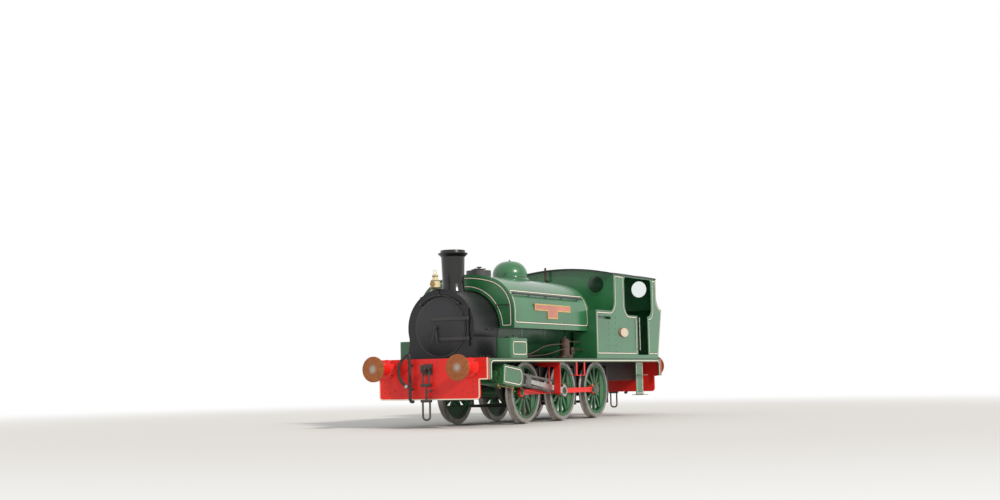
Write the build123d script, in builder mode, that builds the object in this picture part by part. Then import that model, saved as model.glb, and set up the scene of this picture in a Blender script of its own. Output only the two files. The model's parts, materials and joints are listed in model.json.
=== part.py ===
import os
from math import asin, atan, cos, degrees, pi, radians, sin, sqrt, tan

from build123d import *

os.makedirs("parts", exist_ok=True)

# Saddle tank steam locomotive, six coupled wheels, two outside cylinders.
# Millimetres. +X is the front, +Y the left side, +Z up, and z = 0 is the lowest point of the wheel flanges.

# Overall layout
beam_face_x = 3915
beam_t = 36
plate_half_y = 1216
plate_top_z = 1224
plate_t = 12
valance_bottom_z = 1150
valance_t = 12
valance_drop_w = 110
valance_corner_r = 60
sheet_t = 10
seat_gap = 0.3

# Wheels and axles
flange_height = 28
tread_r = 570
flange_r = tread_r + flange_height
axle_z = flange_r
driving_x = 215
axle_spacing = 1550
leading_x = driving_x + axle_spacing
trailing_x = driving_x - axle_spacing
tyre_back_y = 680
tyre_w = 127
tyre_inner_r = 500
flange_t = 32
rim_inner_r = 446
rim_inset = 10
spoke_count = 12
spoke_w = 58
spoke_t = 52
hub_r = 118
hub_proud = 13
axle_r = 82
crank_throw = 280
crank_boss_r = 92
crank_pin_r = 52
balance_deg = 58

# Coupling rods
rod_gap = 8
coupling_rod_t = 44
coupling_rod_depth = 96
rod_eye_r = 88
flute_depth = 9
flute_depth_share = 0.5
pin_play = 0.05
pin_cap_t = 12
pin_cap_r = 66

# Cylinders and motion, on an axis that rises towards the front
motion_tilt = 6.57
cylinder_y = 965
cylinder_length = 640
cylinder_cover_t = 46
casing_half_height = 175
casing_outer_y = 1150
casing_skin = 90
casing_corner_r = 120
front_cover_r = 150
front_cover_t = 22
gland_r = 62
gland_length = 70
piston_rod_r = 34
connecting_rod_length = 1600
cylinder_ahead = 1080
cylinder_mid = connecting_rod_length + cylinder_ahead
connecting_rod_t = 50
big_end_r = 112
little_end_r = 66
connecting_rod_depth = 92
slide_bar_w = 22
slide_bar_depth = 34
slide_bar_offset = 96
crosshead_gap = 5
crosshead_cheek_t = 18
crosshead_back = 118
crosshead_front = 256
crosshead_boss_t = 46
crosshead_boss_half = 40
bracket_x = 995
bracket_t = 20
bracket_outer_y = 1150
bracket_slot_top_z = 1062

# Frame plates
frame_y = 600
frame_t = 25
frame_bottom_z = 470
frame_end_bottom_z = 760
horn_w = 250
horn_top_z = 770
axlebox_t = 76
axlebox_bottom_z = 480

# Buffer beams and buffers
beam_top_z = 1232
beam_step_z = 849
beam_bottom_z = 504
beam_lower_half_y = 1047
beam_corner_r = 70
buffer_y = 870
buffer_z = 1066
buffer_length = 465
buffer_head_r = 228
buffer_head_t = 34
buffer_dome = 14
buffer_ram_r = 62
buffer_base_r = 172
buffer_base_t = 22
buffer_neck_r = 112
buffer_mouth_r = 98
buffer_housing_length = 300
buffer_ram_depth = 180

# Boiler, smokebox and chimney
boiler_z = 1795
smokebox_r = 697
smokebox_front_x = 3464
smokebox_back_x = 2570
smokebox_t = 14
front_plate_t = 18
door_opening_r = 468
saddle_half_y = 750
saddle_inset_x = 30
saddle_start_deg = 15
boiler_r = 640
boiler_back_x = -250
chimney_x = 2995
chimney_top_z = 3228
chimney_flue_r = 150
chimney_root = 120
chimney_base_r = 262
chimney_flare_r = 222
chimney_low_r = 199
chimney_high_r = 218
chimney_lip_r = 278

# Smokebox door
door_r = 512
door_rim_t = 24
door_dome = 62
door_hinge_y = 584
door_hinge_reach = 30
door_hinge_x = smokebox_front_x + door_hinge_reach
door_strap_w = 58
door_strap_t = 12
hinge_bar_low_z = 1458
hinge_bar_high_z = 2168
strap_high_z = 1948
strap_low_z = 1588
hinge_pin_r = 13
dart_y = -35
lamp_y = -45
lamp_low_z = 2500

# Saddle tank
tank_front_x = smokebox_back_x
tank_back_x = -623
tank_top_z = 2799
tank_bottom_z = 1781
tank_half_y = 1020
tank_crown_r = 1939
tank_shoulder_r = 638
tank_arch_r = 722

# Tank fittings
filler_x = 2055
filler_r = 237
filler_bore_r = 190
filler_top_z = 2905
filler_well = 340
filler_lid_t = 22
dome_x = 815
dome_r = 345
dome_top_z = 3175
dome_base_z = 2700
rail_z = 2418
rail_inset = 20
rail_y = tank_half_y - rail_inset
rail_r = 17

# Cab
cab_front_x = -1455
cab_back_x = -3725
bunker_foot_x = -3749
bunker_waist_x = -4006
waist_sweep_r = 300
cab_waist_z = 2305
cab_waist_top_z = 2558
roof_edge_z = 2986
roof_r = 5216
roof_t = 14
roof_overhang = 75
roof_back_overhang = 10
roof_side_overhang = 14
roof_half_y = plate_half_y + roof_side_overhang
window_r = 188
window_y = 810
window_z = 2778
rim_w = 24
rim_t = 8
glass_t = 6
opening_front_x = -1999
opening_back_x = -3432
opening_head = 29
opening_sill_z = 2137
opening_start_z = 2362
opening_corner_r = 90
opening_rear_r = 200
door_front_x = -2655
door_back_x = -3205
floor_t = 40
floor_z = 1300

# Firebox and backhead
firebox_back_x = -1600
firebox_r = 656
firebox_half_y = 560
firebox_waist_z = 1300
firebox_bottom_z = 780

# Side bunkers
bunker_front_x = -555
bunker_tank_gap = 8
bunker_inner_y = 690
bunker_top_z = 2205
bunker_slot_low_z = 2024
bunker_slot_high_z = 2084
bunker_slot_front_x = -611
bunker_slot_back_x = -1269
bunker_slot_depth = 70
bunker_fillet = 200

# Sandboxes
sandbox_front_x = 3004
sandbox_back_x = 2369
sandbox_inset_y = 20
sandbox_w = 332
sandbox_top_z = 1579

# Worked out places
plate_bottom_z = plate_top_z - plate_t
front_x = beam_face_x - beam_t
tyre_front_y = tyre_back_y + tyre_w
boss_y = tyre_front_y + hub_proud
coupling_rod_y = boss_y + rod_gap + coupling_rod_t / 2
pin_end_y = boss_y + rod_gap + coupling_rod_t + 1
slope = tan(radians(motion_tilt))
mirror_sides = (1, -1)
crank_angle = {1: 0, -1: 90}
axle_places = {"leading": leading_x, "driving": driving_x, "trailing": trailing_x}


def save(piece, name):
    piece.part.label = name
    export_step(piece.part, f"parts/{name}.step")


def side_plane(y):
    return Plane.XZ.offset(-y)


def cross_plane(x):
    return Plane.YZ.offset(x)


def motion_plane(y):
    run = Vector(cos(radians(motion_tilt)), 0, sin(radians(motion_tilt)))
    return Plane(origin=(driving_x, y, axle_z), x_dir=run, z_dir=(0, -1, 0))


def crank_pin(side, wheel_x):
    angle = radians(crank_angle[side])
    return wheel_x + crank_throw * cos(angle), axle_z + crank_throw * sin(angle)


def crosshead_run(side):
    angle = radians(crank_angle[side] - motion_tilt)
    across = crank_throw * sin(angle)
    return crank_throw * cos(angle) + sqrt(connecting_rod_length ** 2 - across ** 2)


# Frame plates with horn gaps, tied by stretchers
frame_end_reach = 900
frame_low_reach = 620
stretchers = [
    # x, low z, high z
    (3300, 760, 1080),
    (bracket_x, 700, 1100),
    (-1750, 560, 1150),
    (-3000, 780, 1150),
]
with BuildPart() as frame_plates:
    with BuildSketch(side_plane(frame_y + frame_t)):
        with BuildLine():
            Polyline(
                (front_x, plate_bottom_z),
                (front_x, frame_end_bottom_z),
                (leading_x + frame_end_reach, frame_end_bottom_z),
                (leading_x + frame_low_reach, frame_bottom_z),
                (trailing_x - frame_low_reach, frame_bottom_z),
                (trailing_x - frame_end_reach, frame_end_bottom_z),
                (-front_x, frame_end_bottom_z),
                (-front_x, plate_bottom_z),
                close=True,
            )
        make_face()
        for wheel_x in axle_places.values():
            with Locations((wheel_x, (horn_top_z + frame_bottom_z) / 2)):
                Rectangle(horn_w, horn_top_z - frame_bottom_z, mode=Mode.SUBTRACT)
    extrude(amount=frame_t)
    mirror(about=Plane.XZ)
    for stretcher_x, low_z, high_z in stretchers:
        with Locations((stretcher_x, 0, (low_z + high_z) / 2)):
            Box(bracket_t, 2 * frame_y, high_z - low_z)
save(frame_plates, "frame_plates")

# Buffer beams, stepped in below the buffers with rounded lower corners
with BuildPart() as buffer_beams:
    with BuildSketch(cross_plane(front_x)) as beam_outline:
        with Locations((0, (beam_top_z + beam_step_z) / 2)):
            Rectangle(2 * plate_half_y, beam_top_z - beam_step_z)
        with Locations((0, (beam_top_z + beam_bottom_z) / 2)):
            Rectangle(2 * beam_lower_half_y, beam_top_z - beam_bottom_z)
        fillet(beam_outline.vertices().group_by(Axis.Y)[0], radius=beam_corner_r)
    extrude(amount=beam_t)
    mirror(about=Plane.YZ)
save(buffer_beams, "buffer_beams")

# Buffer housings and heads, one at each corner
buffer_root_t = 30
buffer_lip_start = 36
buffer_lip_t = 30
buffer_lip_proud = 10
with BuildPart() as buffer_housings:
    for end in mirror_sides:
        for side in mirror_sides:
            centre = (end * beam_face_x, side * buffer_y, buffer_z)
            with BuildSketch(Plane(origin=centre, x_dir=(0, 0, 1), z_dir=(0, 1, 0))):
                with BuildLine():
                    Polyline(
                        (0, 0),
                        (buffer_base_r, 0),
                        (buffer_base_r, end * buffer_base_t),
                        (buffer_neck_r, end * (buffer_base_t + buffer_root_t)),
                        (buffer_mouth_r, end * (buffer_housing_length - buffer_lip_start)),
                        (buffer_mouth_r + buffer_lip_proud, end * (buffer_housing_length - buffer_lip_t)),
                        (buffer_mouth_r + buffer_lip_proud, end * buffer_housing_length),
                        (buffer_ram_r, end * buffer_housing_length),
                        (buffer_ram_r, end * buffer_ram_depth),
                        (0, end * buffer_ram_depth),
                        close=True,
                    )
                make_face()
            revolve(axis=Axis(centre, (1, 0, 0)))
save(buffer_housings, "buffer_housings")

head_boss_r = buffer_ram_r + 60
head_boss_t = 20
head_cone_t = 70
with BuildPart() as buffer_heads:
    for end in mirror_sides:
        for side in mirror_sides:
            centre = (end * beam_face_x, side * buffer_y, buffer_z)
            with BuildSketch(Plane(origin=centre, x_dir=(0, 0, 1), z_dir=(0, 1, 0))):
                with BuildLine():
                    Polyline(
                        (buffer_head_r, end * (buffer_length - buffer_dome)),
                        (buffer_head_r, end * (buffer_length - buffer_head_t)),
                        (head_boss_r, end * (buffer_length - buffer_head_t - head_boss_t)),
                        (buffer_ram_r, end * (buffer_length - buffer_head_t - head_cone_t)),
                        (buffer_ram_r, end * buffer_ram_depth),
                        (0, end * buffer_ram_depth),
                        (0, end * buffer_length),
                        (buffer_head_r / 4, end * buffer_length),
                    )
                    Line(
                        (buffer_head_r / 4, end * buffer_length),
                        (buffer_head_r, end * (buffer_length - buffer_dome)),
                    )
                make_face()
            revolve(axis=Axis(centre, (1, 0, 0)))
save(buffer_heads, "buffer_heads")

# Draw hooks: a shank through the beam and an open hook
hook_z = 1046
hook_t = 44
hook_plate_t = 18
hook_plate_w = 190
hook_outline = [
    # out from the beam, up from the shank
    (0, -31),
    (0, 31),
    (105, 31),
    (130, 8),
    (190, 8),
    (214, 78),
    (248, 70),
    (250, -20),
    (205, -66),
    (120, -66),
]
coupling_x = 75
link_r = 15
with BuildPart() as draw_hooks:
    for end in mirror_sides:
        with BuildSketch(side_plane(hook_t / 2)):
            with BuildLine():
                Polyline(
                    *[(end * (beam_face_x + out), hook_z + up) for out, up in hook_outline],
                    close=True,
                )
            make_face()
        extrude(amount=hook_t)
        with Locations((end * (beam_face_x + hook_plate_t / 2), 0, hook_z)):
            Box(hook_plate_t, hook_plate_w, hook_plate_w)
        with Locations((end * (beam_face_x + coupling_x), 0, hook_z)):
            Cylinder(link_r, 2 * hook_t, rotation=(90, 0, 0), mode=Mode.SUBTRACT)
save(draw_hooks, "draw_hooks")

# Screw couplings: pin, links, screw with ball lever, and a rounded bow hanging below
link_y = 62
link_eye_r = 30
link_eye_t = 22
pin_overhang = 22
screw_r = 17
screw_top_z = 770
screw_low_z = 490
trunnion_r = 25
trunnion_overhang = 34
bow_low_z = 160
bow_r = 17
bow_y = 74
bow_corner_r = 62
lever_r = 9
lever_y = 105
lever_rise = 46
lever_ball_r = 27
with BuildPart() as screw_couplings:
    for end in mirror_sides:
        hang_x = end * (beam_face_x + coupling_x)
        with Locations((hang_x, 0, hook_z)):
            Cylinder(link_r, 2 * (link_y + pin_overhang), rotation=(90, 0, 0))
        for side in mirror_sides:
            with Locations((hang_x, side * link_y, (hook_z + screw_top_z) / 2)):
                Cylinder(link_r, hook_z - screw_top_z)
            with Locations((hang_x, side * link_y, hook_z), (hang_x, side * link_y, screw_top_z)):
                Cylinder(link_eye_r, link_eye_t, rotation=(90, 0, 0))
        for trunnion_z in (screw_top_z, screw_low_z):
            with Locations((hang_x, 0, trunnion_z)):
                Cylinder(trunnion_r, 2 * (bow_y + trunnion_overhang), rotation=(90, 0, 0))
        with Locations((hang_x, 0, (screw_top_z + screw_low_z) / 2)):
            Cylinder(screw_r, screw_top_z - screw_low_z)
        with BuildLine():
            FilletPolyline(
                (hang_x, -bow_y, screw_low_z),
                (hang_x, -bow_y, bow_low_z),
                (hang_x, bow_y, bow_low_z),
                (hang_x, bow_y, screw_low_z),
                radius=bow_corner_r,
            )
        with BuildSketch(Plane(origin=(hang_x, -bow_y, screw_low_z), z_dir=(0, 0, -1))):
            Circle(bow_r)
        sweep()
        lever_z = (screw_top_z + screw_low_z) / 2
        with BuildSketch(Plane(origin=(hang_x, 0, lever_z), z_dir=(0, lever_y, lever_rise))):
            Circle(lever_r)
        extrude(amount=sqrt(lever_y ** 2 + lever_rise ** 2))
        with Locations((hang_x, lever_y, lever_z + lever_rise)):
            Sphere(lever_ball_r)
save(screw_couplings, "screw_couplings")

# Running plate, cut away over the firebox and the boiler
plate_gap = 20
with BuildPart() as running_plate:
    with Locations((0, 0, plate_top_z - plate_t / 2)):
        Box(2 * front_x, 2 * plate_half_y, plate_t)
    with Locations(((firebox_back_x + boiler_back_x) / 2, 0, plate_top_z - plate_t / 2)):
        Box(
            boiler_back_x - firebox_back_x + 2 * plate_gap,
            2 * (firebox_half_y + plate_gap),
            plate_t,
            mode=Mode.SUBTRACT,
        )
    with Locations(((smokebox_front_x + boiler_back_x) / 2, 0, plate_top_z - plate_t / 2)):
        Box(smokebox_front_x - boiler_back_x, 2 * firebox_half_y, plate_t, mode=Mode.SUBTRACT)
save(running_plate, "running_plate")

# Valances: a strip below each edge that drops behind both beams, with rounded inner corners
with BuildPart() as valances:
    with BuildSketch(side_plane(plate_half_y)) as valance_outline:
        with Locations((0, (plate_bottom_z + beam_step_z) / 2)):
            Rectangle(2 * front_x, plate_bottom_z - beam_step_z)
        with Locations((0, (valance_bottom_z + beam_bottom_z) / 2)):
            Rectangle(2 * (front_x - valance_drop_w), valance_bottom_z - beam_bottom_z, mode=Mode.SUBTRACT)
        fillet(valance_outline.vertices().group_by(Axis.Y)[1], radius=valance_corner_r)
    extrude(amount=valance_t)
    mirror(about=Plane.XZ)
save(valances, "valances")

# Wheelsets: spoked centres with crank bosses and balance weights, pins, on one axle
spoke_root = 20
rim_root = 4
axle_root = 20
balance_proud = 14
collar_proud = 14
flange_round = 12
flange_lead = 8
flange_crest = 20
flange_fillet = 8
tread_fall = 4
half_turn = 180
spoke_length = rim_inner_r - hub_r + spoke_root
wheel_mid_y = (tyre_back_y + tyre_front_y) / 2
collar_r = crank_pin_r + collar_proud
connecting_rod_y = cylinder_y
big_end_inner_y = connecting_rod_y - connecting_rod_t / 2
for name, wheel_x in axle_places.items():
    with BuildPart() as wheelset:
        with Locations((wheel_x, 0, axle_z)):
            Cylinder(axle_r, 2 * (tyre_back_y + axle_root), rotation=(90, 0, 0))
        for side in mirror_sides:
            pin_x, pin_z = crank_pin(side, wheel_x)
            with BuildSketch(side_plane(side * wheel_mid_y)):
                with Locations((wheel_x, axle_z)):
                    Circle(tyre_inner_r)
                    Circle(rim_inner_r, mode=Mode.SUBTRACT)
            extrude(amount=tyre_w / 2 - rim_inset, both=True)
            with BuildSketch(side_plane(side * wheel_mid_y)):
                with Locations((wheel_x, axle_z)):
                    with PolarLocations((hub_r + spoke_length / 2) - 5, spoke_count):
                        Rectangle(spoke_length, spoke_w)
            extrude(amount=spoke_t / 2, both=True)
            with BuildSketch(side_plane(side * wheel_mid_y)):
                with Locations((wheel_x, axle_z)):
                    Circle(rim_inner_r + rim_root)
                    far = 2 * rim_inner_r
                    turn = crank_angle[side] + half_turn
                    with Locations(Location((0, 0, 0), (0, 0, turn))):
                        with Locations((rim_inner_r * cos(radians(balance_deg)) - far / 2, 0)):
                            Rectangle(far, 2 * far, mode=Mode.SUBTRACT)
            extrude(amount=spoke_t / 2 + balance_proud, both=True)
            with BuildSketch(side_plane(side * tyre_back_y)):
                with Locations((wheel_x, axle_z)):
                    Circle(hub_r)
                with Locations((pin_x, pin_z)):
                    Circle(crank_boss_r)
                with Locations(((wheel_x + pin_x) / 2, (axle_z + pin_z) / 2)):
                    Rectangle(
                        crank_throw if crank_angle[side] == 0 else 1.5 * crank_boss_r,
                        1.5 * crank_boss_r if crank_angle[side] == 0 else crank_throw,
                    )
            extrude(amount=-side * (boss_y - tyre_back_y))
            end_y = pin_end_y if name != "driving" else connecting_rod_y + connecting_rod_t / 2 + 1
            for radius, low_y, high_y in (
                (collar_r, boss_y, boss_y + rod_gap - 1),
                (crank_pin_r, boss_y, end_y),
                (pin_cap_r, end_y, end_y + pin_cap_t),
            ):
                with Locations((pin_x, side * (low_y + high_y) / 2, pin_z)):
                    Cylinder(radius, high_y - low_y, rotation=(90, 0, 0))
            if name == "driving":
                low_y = pin_end_y
                high_y = big_end_inner_y - 1
                with Locations((pin_x, side * (low_y + high_y) / 2, pin_z)):
                    Cylinder(collar_r, high_y - low_y, rotation=(90, 0, 0))
    save(wheelset, f"wheelset_{name}")

    with BuildPart() as tyres:
        for side in mirror_sides:
            back = side * tyre_back_y
            with BuildSketch(Plane(origin=(wheel_x, 0, axle_z), x_dir=(0, 1, 0), z_dir=(-1, 0, 0))):
                with BuildLine():
                    Polyline(
                        (back, tyre_inner_r),
                        (back, flange_r - flange_round),
                        (back + side * flange_lead, flange_r),
                        (back + side * flange_crest, flange_r),
                        (back + side * flange_t, tread_r + flange_fillet),
                        (back + side * (flange_t + flange_round), tread_r),
                        (side * tyre_front_y, tread_r - tread_fall),
                        (side * tyre_front_y, tyre_inner_r),
                        close=True,
                    )
                make_face()
            revolve(axis=Axis((wheel_x, 0, axle_z), (0, 1, 0)))
    save(tyres, f"tyres_{name}")

# Coupling rods: three eyes, fluted between them
flute_gap = 60
rod_root_share = 0.62
rod_tip_share = 0.4
for name, side in (("left", 1), ("right", -1)):
    mid_y = side * coupling_rod_y
    eyes = [crank_pin(side, wheel_x) for wheel_x in axle_places.values()]
    with BuildPart() as coupling_rod:
        with BuildSketch(side_plane(mid_y)):
            with Locations(((eyes[0][0] + eyes[2][0]) / 2, eyes[0][1])):
                Rectangle(eyes[0][0] - eyes[2][0], coupling_rod_depth)
            with Locations(*eyes):
                Circle(rod_eye_r)
        extrude(amount=coupling_rod_t / 2, both=True)
        for face_side in mirror_sides:
            with BuildSketch(side_plane(mid_y + face_side * coupling_rod_t / 2)):
                for front, back in ((eyes[0], eyes[1]), (eyes[1], eyes[2])):
                    with Locations(((front[0] + back[0]) / 2, front[1])):
                        flute_length = axle_spacing - 2 * rod_eye_r - flute_gap
                        Rectangle(flute_length, coupling_rod_depth * flute_depth_share)
            extrude(amount=face_side * flute_depth, mode=Mode.SUBTRACT)
        with BuildSketch(side_plane(mid_y)):
            with Locations(*eyes):
                Circle(crank_pin_r + pin_play)
        extrude(amount=coupling_rod_t, both=True, mode=Mode.SUBTRACT)
    save(coupling_rod, f"coupling_rod_{name}")

# Connecting rods, crossheads and slide bars on the inclined motion line
for name, side in (("left", 1), ("right", -1)):
    mid_y = side * connecting_rod_y
    pin_x, pin_z = crank_pin(side, driving_x)
    run = crosshead_run(side)
    little_x = driving_x + run * cos(radians(motion_tilt))
    little_z = axle_z + run * sin(radians(motion_tilt))
    lean = Vector(little_x - pin_x, 0, little_z - pin_z).normalized()
    rod_plane = Plane(origin=(pin_x, mid_y, pin_z), x_dir=lean, z_dir=(0, -1, 0))
    with BuildPart() as connecting_rod:
        with BuildSketch(rod_plane):
            Circle(big_end_r)
            with Locations((connecting_rod_length, 0)):
                Circle(little_end_r)
            with BuildLine():
                Polyline(
                    (0, connecting_rod_depth * rod_root_share),
                    (0, -connecting_rod_depth * rod_root_share),
                    (connecting_rod_length, -connecting_rod_depth * rod_tip_share),
                    (connecting_rod_length, connecting_rod_depth * rod_tip_share),
                    close=True,
                )
            make_face()
        extrude(amount=connecting_rod_t / 2, both=True)
        with BuildSketch(rod_plane):
            Circle(crank_pin_r + pin_play)
        extrude(amount=connecting_rod_t, both=True, mode=Mode.SUBTRACT)
    save(connecting_rod, f"connecting_rod_{name}")

slide_bar_front = cylinder_mid - cylinder_length / 2 - cylinder_cover_t
slide_bar_tail = 60
slide_bar_back = bracket_x - driving_x - slide_bar_tail
fork_half = connecting_rod_t / 2 + crosshead_gap
bar_offset_y = fork_half + crosshead_cheek_t + slide_bar_w / 2
bar_ys = [cylinder_y - bar_offset_y, cylinder_y + bar_offset_y]
with BuildPart() as slide_bars:
    for side in mirror_sides:
        for bar_y in bar_ys:
            with BuildSketch(motion_plane(side * bar_y)):
                for level in mirror_sides:
                    with Locations(((slide_bar_front + slide_bar_back) / 2, level * slide_bar_offset)):
                        Rectangle(slide_bar_front - slide_bar_back, slide_bar_depth)
            extrude(amount=slide_bar_w / 2, both=True)
    split(bisect_by=cross_plane(bracket_x + bracket_t / 2), keep=Keep.TOP)
save(slide_bars, "slide_bars")

crosshead_relief = 8
with BuildPart() as crossheads:
    for side in mirror_sides:
        run = crosshead_run(side)
        slipper_half = slide_bar_offset - slide_bar_depth / 2
        for step in mirror_sides:
            cheek_y = cylinder_y + step * (fork_half + crosshead_cheek_t / 2)
            with BuildSketch(motion_plane(side * cheek_y)):
                with BuildLine():
                    Polyline(
                        (run - crosshead_back, slipper_half - crosshead_relief),
                        (run + crosshead_back, slipper_half - crosshead_relief),
                        (run + crosshead_front + crosshead_boss_t, crosshead_boss_half),
                        (run + crosshead_front + crosshead_boss_t, -crosshead_boss_half),
                        (run + crosshead_back, crosshead_relief - slipper_half),
                        (run - crosshead_back, crosshead_relief - slipper_half),
                        close=True,
                    )
                make_face()
            extrude(amount=crosshead_cheek_t / 2, both=True)
            slipper_y = cylinder_y + step * (fork_half + crosshead_cheek_t + slide_bar_w / 2)
            with BuildSketch(motion_plane(side * slipper_y)):
                with Locations((run, 0)):
                    Rectangle(2 * crosshead_back - 2 * crosshead_relief, 2 * slipper_half)
            extrude(amount=slide_bar_w / 2, both=True)
        with BuildSketch(motion_plane(side * cylinder_y)):
            with Locations((run + crosshead_front + crosshead_boss_t / 2, 0)):
                Rectangle(crosshead_boss_t, 2 * crosshead_boss_half)
        extrude(amount=fork_half + crosshead_cheek_t, both=True)
        rod_start = run + crosshead_front + crosshead_boss_t / 2
        rod_end = cylinder_mid - cylinder_length / 2 - cylinder_cover_t - gland_length
        along = motion_plane(side * cylinder_y)
        with BuildSketch(Plane(origin=along.from_local_coords((rod_start, 0, 0)), z_dir=along.x_dir)):
            Circle(piston_rod_r)
        extrude(amount=rod_end - rod_start)
save(crossheads, "crossheads")

# Cylinders: a flat-sided casing rounded at the back, with a round front cover and glands at both ends
casing_length = cylinder_length + 2 * cylinder_cover_t
casing_back = cylinder_mid - casing_length / 2
casing_front = cylinder_mid + casing_length / 2
inner_casing_y = casing_outer_y - casing_skin
gland_front_length = 40
with BuildPart() as cylinders:
    for side in mirror_sides:
        along = motion_plane(side * cylinder_y)
        with BuildSketch(motion_plane(side * inner_casing_y)):
            with Locations((cylinder_mid, 0)):
                Rectangle(casing_length, 2 * casing_half_height)
        extrude(amount=side * (inner_casing_y - frame_y - frame_t))
        with BuildSketch(motion_plane(side * casing_outer_y)) as casing_outline:
            with Locations((cylinder_mid, 0)):
                Rectangle(casing_length, 2 * casing_half_height)
            fillet(casing_outline.vertices().group_by(Axis.X)[0], radius=casing_corner_r)
        extrude(amount=side * casing_skin)
        for radius, start, length in (
            (front_cover_r, casing_front, front_cover_t),
            (gland_r, casing_front + front_cover_t, gland_front_length),
            (gland_r, casing_back - gland_length, gland_length),
        ):
            with BuildSketch(Plane(origin=along.from_local_coords((start, 0, 0)), z_dir=along.x_dir)):
                Circle(radius)
            extrude(amount=length)
save(cylinders, "cylinders")

# Motion brackets: a plate each side with a slot for the connecting rod
leg_overlap = 40
with BuildPart() as motion_brackets:
    for side in mirror_sides:
        centre_z = axle_z + (bracket_x - driving_x) * slope
        with BuildSketch(cross_plane(bracket_x - bracket_t / 2)):
            inner = frame_y + frame_t
            web_y = side * (inner + bracket_outer_y) / 2
            with Locations((web_y, (plate_bottom_z + bracket_slot_top_z) / 2)):
                Rectangle(bracket_outer_y - inner, plate_bottom_z - bracket_slot_top_z)
            leg_low_z = centre_z - slide_bar_offset - leg_overlap
            outer_leg_y = bar_ys[1] - slide_bar_w / 2
            with Locations((side * (outer_leg_y + bracket_outer_y) / 2, (plate_bottom_z + leg_low_z) / 2)):
                Rectangle(bracket_outer_y - outer_leg_y, plate_bottom_z - leg_low_z)
            with Locations((side * bar_ys[0], (plate_bottom_z + leg_low_z) / 2)):
                Rectangle(slide_bar_w, plate_bottom_z - leg_low_z)
        extrude(amount=bracket_t)
save(motion_brackets, "motion_brackets")

# Axleboxes in the horn gaps, each with its leaf spring
spring_half = 430
spring_rise = 70
spring_t = 78
spring_w = 38
spring_tip_t = 14
buckle_w = 90
buckle_half = 60
axlebox_top_z = horn_top_z - 30
spring_top_z = horn_top_z + 150
with BuildPart() as axleboxes:
    for wheel_x in axle_places.values():
        for side in mirror_sides:
            box_mid_y = side * (frame_y + frame_t / 2)
            with Locations((wheel_x, box_mid_y, (axlebox_top_z + axlebox_bottom_z) / 2)):
                Box(horn_w, axlebox_t, axlebox_top_z - axlebox_bottom_z)
            with Locations((wheel_x, box_mid_y, axle_z)):
                Cylinder(axle_r + pin_play, 2 * axlebox_t, rotation=(90, 0, 0), mode=Mode.SUBTRACT)
            spring_y = side * (frame_y + frame_t + spring_w / 2)
            tip_z = spring_top_z + spring_rise
            with BuildSketch(side_plane(spring_y)):
                with BuildLine():
                    ThreePointArc(
                        (wheel_x - spring_half, tip_z),
                        (wheel_x, spring_top_z),
                        (wheel_x + spring_half, tip_z),
                    )
                    Polyline(
                        (wheel_x + spring_half, tip_z),
                        (wheel_x + spring_half, tip_z - spring_tip_t),
                        (wheel_x + buckle_half, spring_top_z - spring_t),
                        (wheel_x - buckle_half, spring_top_z - spring_t),
                        (wheel_x - spring_half, tip_z - spring_tip_t),
                        (wheel_x - spring_half, tip_z),
                    )
                make_face()
                with Locations((wheel_x, (spring_top_z + axlebox_top_z) / 2)):
                    Rectangle(buckle_w, spring_top_z - axlebox_top_z)
            extrude(amount=spring_w / 2, both=True)
save(axleboxes, "axleboxes")

# Brake gear: hangers with blocks behind each wheel, cross beams and a pull rod
brake_reach = 652
hanger_w = 56
hanger_t = 26
brake_pivot_z = 1060
brake_beam_z = 330
brake_shaft_z = 800
block_gap = 8
block_t = 58
block_half_deg = 14
block_inset = 20
hanger_set = 20
pull_back_x = -2500
pull_w = 40
brake_shaft_r = 36
with BuildPart() as brake_gear:
    for wheel_x in axle_places.values():
        hanger_x = wheel_x - brake_reach
        for side in mirror_sides:
            with Locations((hanger_x - hanger_set, side * wheel_mid_y, (brake_pivot_z + brake_beam_z) / 2)):
                Box(hanger_w, hanger_t, brake_pivot_z - brake_beam_z)
            pivot_y = side * (frame_y + frame_t + wheel_mid_y) / 2
            with Locations((hanger_x - hanger_set, pivot_y, brake_pivot_z)):
                Box(hanger_w, wheel_mid_y - frame_y - frame_t, hanger_w)
            with BuildSketch(side_plane(side * wheel_mid_y)):
                with Locations((wheel_x, axle_z)):
                    Circle(flange_r + block_gap + block_t)
                    Circle(flange_r + block_gap, mode=Mode.SUBTRACT)
                reach = 2 * (flange_r + block_gap + block_t)
                half_height = (flange_r + block_gap) * sin(radians(block_half_deg))
                with Locations((wheel_x + reach / 2, axle_z)):
                    Rectangle(2 * reach, 2 * half_height, mode=Mode.INTERSECT)
                with Locations((wheel_x + reach / 2, axle_z)):
                    Rectangle(reach, reach, mode=Mode.SUBTRACT)
            extrude(amount=tyre_w / 2 - block_inset, both=True)
        with Locations((hanger_x - hanger_set, 0, brake_beam_z)):
            Box(hanger_w, 2 * (wheel_mid_y + hanger_t / 2), hanger_w)
    pull_front_x = leading_x - brake_reach
    with Locations(((pull_front_x + pull_back_x) / 2, 0, brake_beam_z)):
        Box(pull_front_x - pull_back_x, pull_w, pull_w)
    with Locations((pull_back_x, 0, (brake_beam_z + brake_shaft_z) / 2)):
        Box(pull_w, pull_w, brake_shaft_z - brake_beam_z + pull_w)
    with Locations((pull_back_x, 0, brake_shaft_z)):
        Cylinder(brake_shaft_r, 2 * frame_y, rotation=(90, 0, 0))
save(brake_gear, "brake_gear")

# Smokebox: hollow shell, and the front plate that runs down to the running plate
flare = [
    (smokebox_r * cos(radians(saddle_start_deg)), boiler_z - smokebox_r * sin(radians(saddle_start_deg))),
    (690, 1400),
    (saddle_half_y, plate_top_z),
]


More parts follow.
